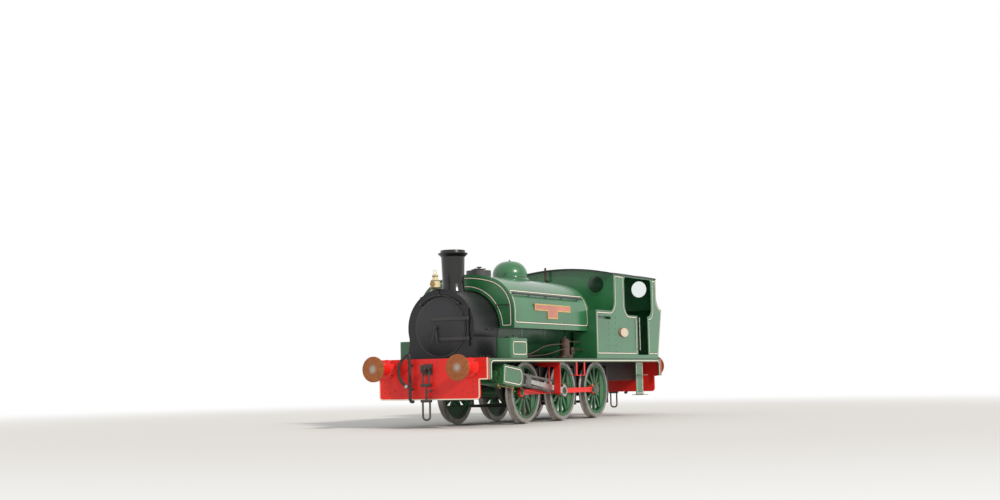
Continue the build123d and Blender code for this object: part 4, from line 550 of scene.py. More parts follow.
def joined(name, parts):
    bpy.ops.object.select_all(action="DESELECT")
    for part in parts:
        part.select_set(True)
    bpy.context.view_layer.objects.active = parts[0]
    bpy.ops.object.join()
    piece = bpy.context.object
    piece.name = name
    return piece


def mount(piece, finish, body="root"):
    applyAll(piece)
    bpy.ops.object.shade_smooth_by_angle(angle=radians(benchSetup["smoothAngle"]))
    piece.data.materials.clear()
    piece.data.materials.append(materials[finish])
    piece.data.name = piece.name
    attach(piece, body)
    return piece


def corners(points, closed=True):
    # corner points with radii become a start, a heading and a list of runs and turns
    places = [Vector(p[:2]) for p in points]
    start = (places[-1] + places[0]) / 2 if closed else places[0]
    stops = list(range(len(points))) if closed else list(range(1, len(points) - 1))
    here = start
    moves = []
    heading = places[0] - start if closed else places[1] - places[0]
    for i in stops:
        before = (places[i] - places[i - 1]).normalized()
        after = (places[(i + 1) % len(points)] - places[i]).normalized()
        turn = atan2(before.x * after.y - before.y * after.x, before.dot(after))
        cut = points[i][2] * abs(sin(turn / 2) / cos(turn / 2))
        moves.append((places[i] - before * cut - here).length)
        moves.append((points[i][2], degrees(turn)))
        here = places[i] + after * cut
    moves.append(((start if closed else places[-1]) - here).length)
    return start, atan2(heading.y, heading.x), moves


planes = {"x": ((0, 1, 0), (0, 0, 1), (1, 0, 0)), "y": ((1, 0, 0), (0, 0, 1), (0, -1, 0)),
          "z": ((1, 0, 0), (0, 1, 0), (0, 0, 1))}


def ribbon(name, route, width, facing, level, band=False, wrap=None, thick=0.002, step=None, closed=True):
    # one edge is drawn along straight runs and spun round the corners
    across, along, axis = (Vector(v) for v in planes[facing])
    normal = Vector([abs(part) for part in axis])
    start, heading, moves = route
    here = Vector(start)

    def place(flat):
        return across * flat.x + along * flat.y + normal * level

    forward = Vector((cos(heading), sin(heading)))
    half = normal * (width / 2) if band else (across * -forward.y + along * forward.x) * (width / 2)
    bpy.ops.mesh.primitive_plane_add(size=1, location=(0, 0, 0))
    piece = bpy.context.object
    piece.name = name
    for part in (*piece.data.polygons, *piece.data.edges):
        part.select = False
    for vertex in piece.data.vertices:
        vertex.select = vertex.index > 1
    bpy.ops.object.mode_set(mode="EDIT")
    bpy.ops.mesh.delete(type="VERT")
    bpy.ops.object.mode_set(mode="OBJECT")
    piece.data.vertices[0].co = place(here) - half
    piece.data.vertices[1].co = place(here) + half
    editAll()
    for move in moves:
        forward = Vector((cos(heading), sin(heading)))
        if isinstance(move, tuple):
            radius, bend = move
            turn = radians(bend)
            left = Vector((-forward.y, forward.x)) * (radius if turn > 0 else -radius)
            centre = here + left
            wanted = abs(bend) * (radius + benchSetup["stepSlack"]) / benchSetup["stepSize"]
            steps = max(benchSetup["leastSteps"], int(wanted))
            bpy.ops.mesh.spin(steps=steps, angle=-turn, center=place(centre), axis=axis)
            c, s = cos(turn), sin(turn)
            here = centre + Vector((-left.x * c + left.y * s, -left.x * s - left.y * c))
            heading += turn
        elif move > benchSetup["tiny"]:
            parts = max(1, int(move / step + benchSetup["almost"])) if step else 1
            for _ in range(parts):
                shift = (across * forward.x + along * forward.y) * (move / parts)
                bpy.ops.mesh.extrude_region_move(TRANSFORM_OT_translate={"value": shift})
            here = here + forward * move
    bpy.ops.mesh.select_all(action="SELECT")
    bpy.ops.mesh.remove_doubles(threshold=benchSetup["merge"])
    bpy.ops.mesh.normals_make_consistent(inside=False)
    bpy.ops.object.mode_set(mode="OBJECT")
    if wrap:
        shrink = piece.modifiers.new("onSurface", "SHRINKWRAP")
        shrink.target = nodes[wrap]
        shrink.wrap_method = "PROJECT"
        shrink.use_project_x = facing == "x"
        shrink.use_project_y = facing == "y"
        shrink.use_project_z = facing == "z"
        shrink.use_negative_direction = True
        shrink.use_positive_direction = True
        applyAll(piece)
    middle = sum((vertex.co for vertex in piece.data.vertices), Vector()) / len(piece.data.vertices)
    if band:
        outward = sum(face.normal.dot(face.center - middle) for face in piece.data.polygons)
    else:
        outward = sum(face.normal.dot(normal) for face in piece.data.polygons) * (1 if level >= 0 else -1)
    if outward < 0:
        editAll()
        bpy.ops.mesh.flip_normals()
        bpy.ops.object.mode_set(mode="OBJECT")
    wall = piece.modifiers.new("paint", "SOLIDIFY")
    wall.thickness = thick
    wall.offset = 1
    return piece


def turned(name, steps, sides=24):
    # a disc drawn upwards: (radius, height) steps
    lastR, lastZ = steps[0]
    bpy.ops.mesh.primitive_circle_add(vertices=sides, radius=lastR, fill_type="NGON", location=(0, 0, lastZ))
    piece = bpy.context.object
    piece.name = name
    applyAll(piece)
    editAll()
    for radius, z in steps[1:]:
        bpy.ops.mesh.extrude_region_move(TRANSFORM_OT_translate={"value": (0, 0, z - lastZ)})
        if abs(radius - lastR) > benchSetup["tiny"]:
            bpy.ops.transform.resize(value=(radius / lastR, radius / lastR, 1), center_override=(0, 0, z))
        lastR, lastZ = radius, z
    bpy.ops.mesh.select_all(action="SELECT")
    bpy.ops.mesh.normals_make_consistent(inside=False)
    bpy.ops.object.mode_set(mode="OBJECT")
    return piece


def standing(place, towards):
    # the piece's own Z looks along the given direction
    return Matrix.Translation(place) @ Vector(towards).to_track_quat("Z", "Y").to_matrix().to_4x4()


def aimed(piece, place, towards=(0, 0, 1)):
    piece.matrix_world = standing(place, towards)
    applyAll(piece)
    return piece


def scatter(name, seed, spots):
    # the seed is copied to each (place, direction), each copy with its own mesh, and all are joined
    copies = []
    for place, towards in spots:
        twin = seed.copy()
        twin.data = seed.data.copy()
        bpy.context.scene.collection.objects.link(twin)
        twin.matrix_world = standing(place, towards)
        copies.append(twin)
    bpy.data.objects.remove(seed)
    piece = joined(name, copies)
    applyAll(piece)
    return piece


def block(name, low, high, bevel=0.004, segments=2):
    middle = [(a + b) / 2 for a, b in zip(low, high)]
    bpy.ops.mesh.primitive_cube_add(size=1, location=middle)
    piece = bpy.context.object
    piece.name = name
    piece.scale = [b - a for a, b in zip(low, high)]
    applyAll(piece)
    editAll()
    bpy.ops.mesh.bevel(offset=bevel, segments=segments, affect="EDGES")
    bpy.ops.object.mode_set(mode="OBJECT")
    return piece


def pipe(name, route, radius, smooth=True):
    c = benchSetup
    order = c["pipeOrder"] if smooth else c["barOrder"]
    piece = tube(name, route, radius, order, c["pipeFine"], c["pipeRounds"])
    bpy.ops.object.select_all(action="DESELECT")
    piece.select_set(True)
    bpy.context.view_layer.objects.active = piece
    bpy.ops.object.convert(target="MESH")
    return bpy.context.object


def hoop(name, centre, facing, radius, width, thick):
    # a flat band bent round a circle; width runs along the axis, thick stands outwards
    order = {"x": (1, 2, 0), "y": (0, 2, 1), "z": (0, 1, 2)}[facing]
    across, along, level = (centre[i] for i in order)
    start = Vector((across + radius, along))
    return ribbon(name, (start, pi / 2, [(radius, 360.0)]), width, facing, level, band=True, thick=thick)


# places that several pieces share, in metres
engineSetup = {
    "boilerZ": 1.795, "plateY": 1.216, "beamX": 3.915, "axleZ": 0.598, "throw": 0.28, "tilt": 6.57,
    "axleX": {"leading": 1.765, "driving": 0.215, "trailing": -1.335}, "cylinderY": 0.965,
}
axleX, axleZ, throw = engineSetup["axleX"], engineSetup["axleZ"], engineSetup["throw"]
lean, rise = cos(radians(engineSetup["tilt"])), sin(radians(engineSetup["tilt"]))

# lining: a cream line on a wider black one, as corner points (first, second, radius) on each panel
liningSetup = {
    "lines": (("Black", 0.036, 0.001, "black_frames", "liningBlack"),
              ("Cream", 0.016, 0.0022, "lamp_enamel", "cream")),
    "tankStep": 0.04,
    "tankSide": [(2.515, 1.885, 0.05), (-0.545, 1.885, 0.05), (-0.545, 2.47, 0.05), (2.515, 2.47, 0.05)],
    "cabSide": [(-0.6, 1.33, 0.03), (-0.6, 2.155, 0.03), (-1.53, 2.155, 0.28), (-1.53, 2.93, 0.03),
                (-1.925, 2.93, 0.03), (-1.925, 2.1, 0.3), (-2.57, 2.1, 0.02), (-2.57, 1.33, 0.03)],
    "rearStrip": [(-3.27, 1.33, 0.03), (-3.27, 2.08, 0.02), (-3.495, 2.08, 0.22), (-3.495, 2.925, 0.03),
                  (-3.665, 2.925, 0.03), (-3.665, 2.4, 0.2), (-3.935, 2.262, 0.03), (-3.712, 1.33, 0.03)],
    "sandbox": [(2.435, 1.29, 0.045), (2.94, 1.29, 0.045), (2.94, 1.515, 0.045), (2.435, 1.515, 0.045)],
    "valance": [(3.794, 0.87, 0), (3.794, 1.176, 0.085), (-3.794, 1.176, 0.085), (-3.794, 0.87, 0)],
    "beam": [(1.205, 1.228, 0), (1.205, 0.86, 0.012), (1.036, 0.86, 0.012), (1.036, 0.515, 0.06),
             (-1.036, 0.515, 0.06), (-1.036, 0.86, 0.012), (-1.205, 0.86, 0.012), (-1.205, 1.228, 0)],
    "hanger": [(-3.085, 0.48, 0.02), (-2.775, 0.48, 0.02), (-2.775, 1.11, 0.02), (-3.085, 1.11, 0.02)],
    "beamWidth": 0.02,
    "out": {"tankSide": 1.1, "cabSide": 1.216, "rearStrip": 1.216, "sandbox": 1.196, "valance": 1.216,
            "hanger": 1.106},
}


def lined(name, route, facing, level, wrap=None, step=None, closed=True, sides=True):
    for paint, width, thick, slotName, finish in liningSetup["lines"]:
        strip = ribbon(name + paint, route, width, facing, level, wrap=wrap, thick=thick, step=step,
                       closed=closed)
        if sides:
            mirrorAcross(strip)
        mount(strip, finish)


def linedPanel(name, closed=True, wrap=None, step=None):
    route = corners(liningSetup[name], closed)
    lined(name + "Lining", route, "y", liningSetup["out"][name], wrap=wrap, step=step, closed=closed)


linedPanel("tankSide", wrap="saddle_tank", step=liningSetup["tankStep"])
for name in ("cabSide", "rearStrip", "sandbox", "valance"):
    linedPanel(name, closed=name != "valance")  # the valance's line is open at both feet
beamEdge = ribbon("beamEdging", corners(liningSetup["beam"], closed=False), liningSetup["beamWidth"], "x",
                  engineSetup["beamX"], closed=False)
mount(mirrorAcross(beamEdge, ends=True, sides=False), "cream")
linedPanel("hanger")
print("lining of the sides and beams")

# front of the tank: round the outer edge, back along the arch over the smokebox; turns are (radius, degrees)
tankFrontSetup = {"start": (-0.87, 1.83), "foot": 0.065, "rise": 0.2541, "shoulder": (0.573, -72.93),
                  "crown": (1.874, -34.14), "bottom": 0.132, "arch": (0.785, 172.2), "last": 0.067,
                  "corner": (0.02, -90), "archCorner": (0.02, -86.1), "x": 2.57}


def tankFrontRoute(c):
    side = [c["rise"], c["shoulder"]]
    moves = [c["foot"], c["corner"], *side, c["crown"], *reversed(side), c["corner"],
             c["bottom"], c["archCorner"], c["arch"], c["archCorner"], c["last"]]
    return Vector(c["start"]), pi, moves


lined("tankFrontLining", tankFrontRoute(tankFrontSetup), "x", tankFrontSetup["x"], sides=False)

# raised edge round both ends of the tank
tankEdgeSetup = {"start": (-1.0202, 1.8), "rise": 0.3041, "shoulder": (0.6382, -72.93),
                 "crown": (1.9392, -34.14), "width": 0.026, "up": 0.006,
                 "ends": (("tankEdgeFront", 2.556), ("tankEdgeBack", -0.609))}


def tankEdge(c, x, name):
    moves = [c["rise"], c["shoulder"], c["crown"], c["shoulder"], c["rise"]]
    route = (Vector(c["start"]), pi / 2, moves)
    edge = ribbon(name, route, c["width"], "x", x, band=True, thick=c["up"], closed=False)
    mount(edge, "green")


for name, x in tankEdgeSetup["ends"]:
    tankEdge(tankEdgeSetup, x, name)
print("tank edges")

# cylinder casings: the panel lies in the tilted plane of the motion
casingSetup = {"middle": (2.877, 0.9046), "side": 1.15,
               "panel": [(0.322, 0.135, 0.02), (-0.326, 0.135, 0.11), (-0.326, -0.135, 0.11),
                         (0.322, -0.135, 0.02)]}


def casingPanel(c):
    x, z = c["middle"]
    return [(x + s * lean - h * rise, z + s * rise + h * lean, r) for s, h, r in c["panel"]]


lined("casingLining", corners(casingPanel(casingSetup)), "y", casingSetup["side"])

# name plates stay bare: a polished border round a painted field, and a raised ring on the oval plates
plateSetup = {"border": [(1.74, 2.24), (0.252, 2.24), (0.252, 2.134), (0.807, 2.134), (0.807, 1.99),
                         (1.21, 1.99), (1.21, 2.134), (1.74, 2.134)],
              "corner": 0.012, "side": 1.028, "width": 0.024, "up": 0.005,
              "oval": (-1.884, 1.246, 1.765), "half": (0.192, 0.092), "segments": 48,
              "rise": 0.004, "ring": 0.018, "sink": -0.002, "fillet": 0.004}
plateRoute = corners([(x, z, plateSetup["corner"]) for x, z in plateSetup["border"]])
border = ribbon("namePlateBorder", plateRoute, plateSetup["width"], "y", plateSetup["side"],
                thick=plateSetup["up"])
mount(mirrorAcross(border), "brass")


def makeOvals(c):
    # a dished disc: drawn up, inset twice and sunk in the middle, then squeezed to an oval
    squeeze = {"value": (1, c["half"][1] / c["half"][0], 1), "center_override": (0, 0, 0)}
    bpy.ops.mesh.primitive_circle_add(vertices=c["segments"], radius=c["half"][0], fill_type="NGON",
                                      location=(0, 0, 0))
    oval = bpy.context.object
    oval.name = "worksPlates"
    editAll()
    bpy.ops.mesh.extrude_region_move(TRANSFORM_OT_translate={"value": (0, 0, c["rise"])})
    bpy.ops.mesh.inset(thickness=c["ring"])
    bpy.ops.mesh.extrude_region_move(TRANSFORM_OT_translate={"value": (0, 0, c["sink"])})
    bpy.ops.mesh.inset(thickness=c["fillet"])
    bpy.ops.transform.resize(**squeeze)
    bpy.ops.mesh.select_all(action="SELECT")
    bpy.ops.transform.resize(**squeeze)
    bpy.ops.mesh.normals_make_consistent(inside=False)
    bpy.ops.object.mode_set(mode="OBJECT")
    outwards = Matrix.Rotation(-pi / 2, 4, "X") @ Matrix.Rotation(pi, 4, "Z")
    oval.matrix_world = Matrix.Translation(c["oval"]) @ outwards
    applyAll(oval)
    return oval


mount(mirrorAcross(makeOvals(plateSetup)), "plateCream")
print("plates")

# rivets: a small domed head, and rows of places with the way that each row looks
rivetSetup = {
    "radius": 0.013, "height": 0.007, "sunk": 0.001, "sides": 8,
    "dome": ((1.0, 0.3), (0.78, 0.75), (0.35, 1.0)),
    "beam": [(0.915, 0.83), (0.915, 0.735), (0.915, 0.64), (0.82, 0.625), (0.7, 0.672), (0.56, 0.612),
             (0.2, 0.612), (0.92, 1.17), (1.13, 1.17), (1.13, 1.06), (1.13, 0.95), (0.64, 1.17),
             (0.42, 1.17), (0.2, 1.17)],
    # first and last (x, z) and the number between
    "cabRows": [((-1.5, 2.198), (-1.5, 1.367), 8), ((-1.7, 2.962), (-3.6, 2.962), 16),
                ((-3.32, 2.051), (-3.29, 1.42), 6), ((-3.532, 2.861), (-3.467, 2.482), 5),
                ((-1.165, 1.938), (-1.165, 1.367), 6)],
    # circles round the boiler's axis: x, radius and degrees
    "front": (3.464, 0.672, (-24, 91, 6)), "barrel": [(x, 0.697, (-20, 86, 7)) for x in (2.605, 3.415)],
    "backplate": (-1.6, 0.6, (0, 181, 12)),
    "frontFoot": [(0.69, 1.44), (0.7, 1.36), (0.705, 1.275), (0.6, 1.262), (0.48, 1.262), (0.36, 1.262),
                  (0.24, 1.262), (0.12, 1.262)],
    "small": 0.9, "large": 1.1,
}


def rivet(c, scale):
    r, h = c["radius"] * scale, c["height"] * scale
    dome = [(r * wide, h * up) for wide, up in c["dome"]]
    return turned("rivet", [(r, -c["sunk"])] + dome, sides=c["sides"])


def rivets(name, spots, finish, scale=1.0, ends=False, sides=True):
    row = scatter(name, rivet(rivetSetup, scale), spots)
    mirrorAcross(row, ends=ends, sides=sides)
    return mount(row, finish)


def line(first, last, count):
    a, b = Vector(first), Vector(last)
    return [tuple(a.lerp(b, i / (count - 1))) for i in range(count)]


def circle(x, radius, sweep, towards=None):
    # places round the boiler's axis that look outwards, or the way that is given
    spots = []
    for a in (radians(d) for d in range(*sweep)):
        place = (x, radius * cos(a), engineSetup["boilerZ"] + radius * sin(a))
        spots.append((place, towards or (0, cos(a), sin(a))))
    return spots


ahead, outward, back, upward = (1, 0, 0), (0, 1, 0), (-1, 0, 0), (0, 0, 1)
beamSpots = [((engineSetup["beamX"], y, z), ahead) for y, z in rivetSetup["beam"]]
# the beam's rivets take the darker copy of the red: painted shade for their dark dots
rivets("beamRivets", beamSpots, "redPaintedShade", ends=True)
cabSpots = []
for (x, z), (lastX, lastZ), count in rivetSetup["cabRows"]:
    cabSpots += line((x, engineSetup["plateY"], z), (lastX, engineSetup["plateY"], lastZ), count)
# the cab side's rivets take the darker copy of the green: painted shade for their dark dots
rivets("cabSideRivets", [(p, outward) for p in cabSpots], "greenPaintedShade")
frontSpots = circle(*rivetSetup["front"], ahead)
frontSpots += [((rivetSetup["front"][0], y, z), ahead) for y, z in rivetSetup["frontFoot"]]
rivets("smokeboxFrontRivets", frontSpots, "smokeboxBlack", scale=rivetSetup["small"])
barrelSpots = [spot for row in rivetSetup["barrel"] for spot in circle(*row)]
rivets("smokeboxBarrelRivets", barrelSpots, "smokeboxBlack", scale=rivetSetup["small"])
print("rivets")

# bands round the boiler below the tank, and round the smokebox, the door and the dome
bandSetup = {"x": (2.5, 1.56, 0.62, -0.18), "radius": 0.6405, "width": 0.055, "up": 0.004}
ringSetup = {
    # middle, facing, radius, width, thickness, finish
    "smokeboxRing": ((2.592, 0, engineSetup["boilerZ"]), "x", 0.6975, 0.03, 0.004, "smokeboxBlack"),
    "doorRing": ((3.47, 0, engineSetup["boilerZ"]), "x", 0.515, 0.02, 0.014, "doorSteel"),
    "domeBand": ((0.815, 0, 2.83), "z", 0.347, 0.02, 0.006, "strapBlack"),
}


def boilerBand(c, x):
    band = hoop("boilerBand", (x, 0, engineSetup["boilerZ"]), "x", c["radius"], c["width"], c["up"])
    applyAll(band)
    return band


bands = [boilerBand(bandSetup, x) for x in bandSetup["x"]]
mount(joined("boilerBands", bands), "green")
for name, (*ring, finish) in ringSetup.items():
    mount(hoop(name, *ring), finish)
print("bands")

# hand knobs on the sandbox lids, and finials on the dome and the filler lid: (radius, height) steps
knobSetup = {
    "knob": [(0.012, -0.002), (0.012, 0.012), (0.021, 0.02), (0.023, 0.032), (0.016, 0.041), (0.005, 0.044)],
    "knobPlaces": [(2.87, 1.03, 1.579), (2.624, 1.03, 1.604)],
    "dome": [(0.03, -0.004), (0.022, 0.004), (0.01, 0.008), (0.013, 0.018), (0.006, 0.025)],
    "domePlace": (0.815, 0, 3.174),
    "grip": [(0.034, -0.004), (0.03, 0.006), (0.012, 0.012), (0.012, 0.022)],
    "bar": [(-0.062, 0.012), (-0.03, 0.024), (0.03, 0.024), (0.062, 0.012)], "barRadius": 0.008,
    "lidPlace": (2.033, 0, 2.958), "sides": 20,
}


def lidCross(c):
    grip = turned("lidGrip", c["grip"], sides=c["sides"])
    longBar = pipe("lidBar", [(s, 0, z) for s, z in c["bar"]], c["barRadius"])
    crossBar = pipe("lidCrossBar", [(0, s, z) for s, z in c["bar"]], c["barRadius"])
    return aimed(joined("lidCross", [grip, longBar, crossBar]), c["lidPlace"])


knob = turned("lidKnobs", knobSetup["knob"], sides=knobSetup["sides"])
knobs = scatter("lidKnobs", knob, [(place, upward) for place in knobSetup["knobPlaces"]])
mount(mirrorAcross(knobs), "strapBlack")
mount(aimed(turned("domeKnob", knobSetup["dome"]), knobSetup["domePlace"]), "green")
mount(lidCross(knobSetup), "fillerGrey", "filler_lid")
print("knobs")

# grab handles on the smokebox side and across the tank front
grabSetup = {"smokebox": [(2.655, 0.69), (2.655, 0.738), (2.7, 0.742), (2.98, 0.742), (3.021, 0.738),
                          (3.021, 0.69)], "smokeboxZ": 1.75,
             "tank": [(2.568, 0.663), (2.604, 0.665), (2.608, 0.7), (2.608, 0.9), (2.604, 0.931),
                      (2.568, 0.933)],
             "tankZ": 2.207, "radius": 0.01}
grabs = [pipe(name + "Grab", [(x, y, grabSetup[name + "Z"]) for x, y in grabSetup[name]], grabSetup["radius"])
         for name in ("smokebox", "tank")]
mount(mirrorAcross(joined("grabHandles", grabs)), "railBlack")

# lubricator on the running plate with its oil pipes
oilSetup = {
    "stand": ((0.15, 0.88, 1.224), (0.6, 1.02, 1.275), 0.006),
    "bearing": ((0.06, 0.9, 1.224), (0.15, 0.985, 1.4), 0.01),
    "drum": [(0.11, 1.27), (0.11, 1.3), (0.092, 1.306), (0.092, 1.445), (0.106, 1.45), (0.106, 1.47),
             (0.092, 1.476), (0.092, 1.56), (0.1, 1.566), (0.1, 1.58), (0.06, 1.612), (0.022, 1.622),
             (0.022, 1.65), (0.01, 1.66)],
    "drumPlace": (0.37, 0.95, 0),
    "wheel": [(0.072, -0.03), (0.072, -0.008), (0.058, -0.008), (0.058, -0.014), (0.02, -0.014), (0.02, 0.006),
              (0.01, 0.01)],
    "wheelPlace": (0.105, 1.01, 1.375), "sides": 28,
    "outlet": [(0.016, -0.004), (0.016, 0.02), (0.01, 0.026), (0.01, 0.045)], "outletSides": 12,
    "outlets": [((0.47, 0.95, 1.5), (1, 0, 0)), ((0.46, 0.975, 1.4), (1, 0.2, 0)),
                ((0.276, 0.95, 1.52), (-1, 0, 0.3))],
    # radius and route
    "pipes": [
        (0.011, [(0.505, 0.95, 1.5), (0.64, 0.95, 1.505), (1.146, 0.93, 1.47), (1.576, 0.925, 1.355),
                 (1.8, 0.925, 1.3), (2.05, 0.925, 1.29), (2.24, 0.93, 1.29), (2.3, 0.93, 1.26),
                 (2.3, 0.93, 1.222)]),
        (0.009, [(0.5, 0.985, 1.4), (0.64, 1.0, 1.395), (1.2, 0.985, 1.29), (1.9, 0.98, 1.262),
                 (2.14, 0.98, 1.262), (2.19, 0.98, 1.25), (2.19, 0.98, 1.222)]),
        (0.012, [(0.235, 0.95, 1.532), (0.12, 0.95, 1.56), (0.0, 0.9, 1.56), (-0.2, 0.86, 1.56),
                 (-0.4, 0.86, 1.56), (-0.56, 0.86, 1.56)]),
        (0.01, [(0.105, 0.94, 1.395), (0.06, 0.94, 1.44), (-0.05, 0.94, 1.44), (-0.3, 0.9, 1.4),
                 (-0.56, 0.9, 1.4)]),
    ],
}


def lubricator(c):
    stand = block("oilStand", *c["stand"])
    drum = aimed(turned("oilDrum", c["drum"], sides=c["sides"]), c["drumPlace"])
    ratchet = aimed(turned("oilWheel", c["wheel"], sides=c["sides"]), c["wheelPlace"], outward)
    bearing = block("oilBearing", *c["bearing"])
    outlets = scatter("oilOutlets", turned("outlet", c["outlet"], sides=c["outletSides"]), c["outlets"])
    return joined("lubricator", [stand, drum, ratchet, bearing, outlets])


mount(mirrorAcross(lubricator(oilSetup)), "pipeBrown")
feeds = [pipe("oilPipe", route, radius) for radius, route in oilSetup["pipes"]]
mount(mirrorAcross(joined("oilPipes", feeds)), "pipeBrown")
print("lubricator")


# cylinder fittings, along the tilted motion: run from the driving axle, height above the cylinder's axis
cylinderSetup = {
    # run, circle's radius, degrees between, nut's radius and height
    "coverNuts": (3.068, 0.128, 36, (0.015, 0.016)), "glandNuts": (3.108, 0.044, 90, (0.011, 0.012)),
    "barRuns": (0.86, 2.27), "barHeight": 0.114, "barHalf": 0.058, "barNut": (0.013, 0.012),
    "cock": [(-0.172, 1.0), (-0.205, 1.0), (-0.232, 1.01), (-0.25, 1.04)], "cockRuns": (2.4, 2.96),
    "cockRadius": 0.013, "rod": [(run, -0.2, 1.0) for run in (2.36, 2.7, 3.0)], "rodRadius": 0.006,
}
nutSetup = {"sunk": 0.002, "chamferZ": 0.8, "top": 0.86, "sides": 6}


def motionPlace(run, height, y):
    return axleX["driving"] + run * lean - height * rise, y, axleZ + run * rise + height * lean


def hexNut(radius, height):
    c = nutSetup
    steps = [(radius, -c["sunk"]), (radius, height * c["chamferZ"]), (radius * c["top"], height)]
    return turned("nut", steps, sides=c["sides"])


def nutRing(name, run, radius, step, size):
    angles = [radians(d) for d in range(0, 360, step)]
    y = engineSetup["cylinderY"]
    spots = [(motionPlace(run, radius * sin(a), y + radius * cos(a)), (lean, 0, rise)) for a in angles]
    return scatter(name, hexNut(*size), spots)


def barNuts(c):
    y = engineSetup["cylinderY"]
    spots = [(motionPlace(run, c["barHeight"] * up, y + dy), (-rise * up, 0, lean * up))
             for run in c["barRuns"] for up in (1, -1) for dy in (-c["barHalf"], c["barHalf"])]
    return scatter("slideBarBolts", hexNut(*c["barNut"]), spots)


def drainCocks(c):
    parts = []
    for run in c["cockRuns"]:
        parts.append(pipe("drainCock", [motionPlace(run, h, y) for h, y in c["cock"]], c["cockRadius"]))
    parts.append(pipe("drainCockRod", [motionPlace(*place) for place in c["rod"]], c["rodRadius"]))
    return joined("drainCocks", parts)


nuts = joined("cylinderNuts", [nutRing(name, *cylinderSetup[name]) for name in ("coverNuts", "glandNuts")])
mount(mirrorAcross(nuts), "motionSteel")
mount(mirrorAcross(barNuts(cylinderSetup)), "motionSteel")
mount(mirrorAcross(drainCocks(cylinderSetup)), "brass")
print("cylinder fittings")

# wheels: steel axle ends, crank pin nuts; rods: oil cups
wheelSetup = {
    "axleEnd": [(0.078, -0.004), (0.078, 0.001), (0.074, 0.002), (0.02, 0.002), (0.016, -0.003)],
    "endSides": 40, "endY": 0.82, "pinNut": (0.034, 0.022),
    "pinY": {"leading": 0.884, "driving": 1.002, "trailing": 0.884},
    "cup": [(0.019, -0.004), (0.019, 0.016), (0.014, 0.018), (0.014, 0.026), (0.006, 0.03)], "cupSides": 16,
    "couplingY": 0.85, "couplingUp": 0.086, "connectingUp": 0.11,
}


def wheelEnds(c, wheel, x):
    ends = [((x, side * c["endY"], axleZ), (0, side, 0)) for side in (1, -1)]
    caps = scatter(wheel + "AxleEnds", turned("axleEnd", c["axleEnd"], sides=c["endSides"]), ends)
    mount(caps, "motionSteel", "wheelset_" + wheel)
    y = c["pinY"][wheel]
    pins = [((x + throw, y, axleZ), (0, 1, 0)), ((x, -y, axleZ + throw), (0, -1, 0))]
    nut = scatter(wheel + "PinNuts", hexNut(*c["pinNut"]), pins)
    mount(nut, "motionSteel", "wheelset_" + wheel)


def oilCups(c, name, places, body):
    cup = turned("oilCup", c["cup"], sides=c["cupSides"])
    mount(scatter(name, cup, [(place, upward) for place in places]), "brass", body)


def rodCups(c, side, name):
    # the right side's pins stand a quarter turn on from the left side's
    shift, pinZ = (throw, axleZ) if side > 0 else (0, axleZ + throw)
    places = [(x + shift, side * c["couplingY"], pinZ + c["couplingUp"]) for x in axleX.values()]
    bigEnd = (axleX["driving"] + shift, side * engineSetup["cylinderY"], pinZ + c["connectingUp"])
    oilCups(c, "couplingRodCups_" + name, places, "coupling_rod_" + name)
    oilCups(c, "connectingRodCup_" + name, [bigEnd], "connecting_rod_" + name)


for wheel, x in axleX.items():
    wheelEnds(wheelSetup, wheel, x)
for side, name in ((1, "left"), (-1, "right")):
    rodCups(wheelSetup, side, name)
print("wheel and rod fittings")

# frames, saddle and buffer bases: bolt heads and rivets
boltSetup = {
    "frameY": 0.625, "frameX": (3.6, 3.4, 3.2, 2.55, 2.45), "frameZ": (1.1, 1.16),
    "topX": (-2.3, -2.6, -2.9, -3.2, -3.5, -3.8, 2.3), "topZ": 1.17,
    "buffer": (3.937, 0.87, 1.066), "bufferHalf": 0.118, "bufferNut": (0.02, 0.016),
    "saddle": [(x, 0.75, 1.262) for x in (2.64, 2.76, 2.88, 3.0, 3.12, 3.24, 3.36)],
}


def bufferNuts(c):
    x, y, z = c["buffer"]
    h = c["bufferHalf"]
    spots = [((x, side * y + h * dy, z + h * dz), ahead) for side in (1, -1)
             for dy, dz in ((1, 1), (1, -1), (-1, 1), (-1, -1))]
    return scatter("bufferBolts", hexNut(*c["bufferNut"]), spots)


def frameSpots(c):
    places = [(x, c["frameY"], z) for x in c["frameX"] for z in c["frameZ"]]
    places += [(x, c["frameY"], c["topZ"]) for x in c["topX"]]
    return [(place, outward) for place in places]


rivets("frameRivets", frameSpots(boltSetup), "frameBlack", scale=rivetSetup["large"])
# the buffers' bolts take the darker copy of the red: painted shade
mount(mirrorAcross(bufferNuts(boltSetup), ends=True, sides=False), "redPaintedShade")
# the saddle's rivets take bright steel so that they show as light dots: a painted highlight on rivets of the
# saddle's paint
saddleSpots = [(place, outward) for place in boltSetup["saddle"]]
rivets("saddleRivets", saddleSpots, "motionSteel", scale=rivetSetup["small"])
print("bolts")

# lamp: a brass bezel at the lens, and dark bands
lampSetup = {
    "bezel": [(0.05, 0.0), (0.05, 0.007), (0.043, 0.01), (0.04, 0.003), (0.026, 0.006), (0.01, 0.008)],
    "sides": 36, "lens": (3.65, -0.045, 2.582), "middle": (3.556, -0.045), "up": 0.004,
    # height, radius, width
    "bands": ((2.64, 0.082, 0.012), (2.511, 0.088, 0.02), (2.72, 0.05, 0.014)),
}
bezel = aimed(turned("lampBezel", lampSetup["bezel"], sides=lampSetup["sides"]), lampSetup["lens"], ahead)
mount(bezel, "lampBrass")
lampBands = [hoop("lampBand", (*lampSetup["middle"], z), "z", radius, width, lampSetup["up"])
             for z, radius, width in lampSetup["bands"]]
mount(joined("lampBands", lampBands), "lampDark")


# cab roof: ribs across it
roofSetup = {"centreZ": -2.0969, "radius": 5.2305, "half": 1.222, "ribs": (-1.405, -2.55, -3.705),
             "width": 0.04, "up": 0.008}


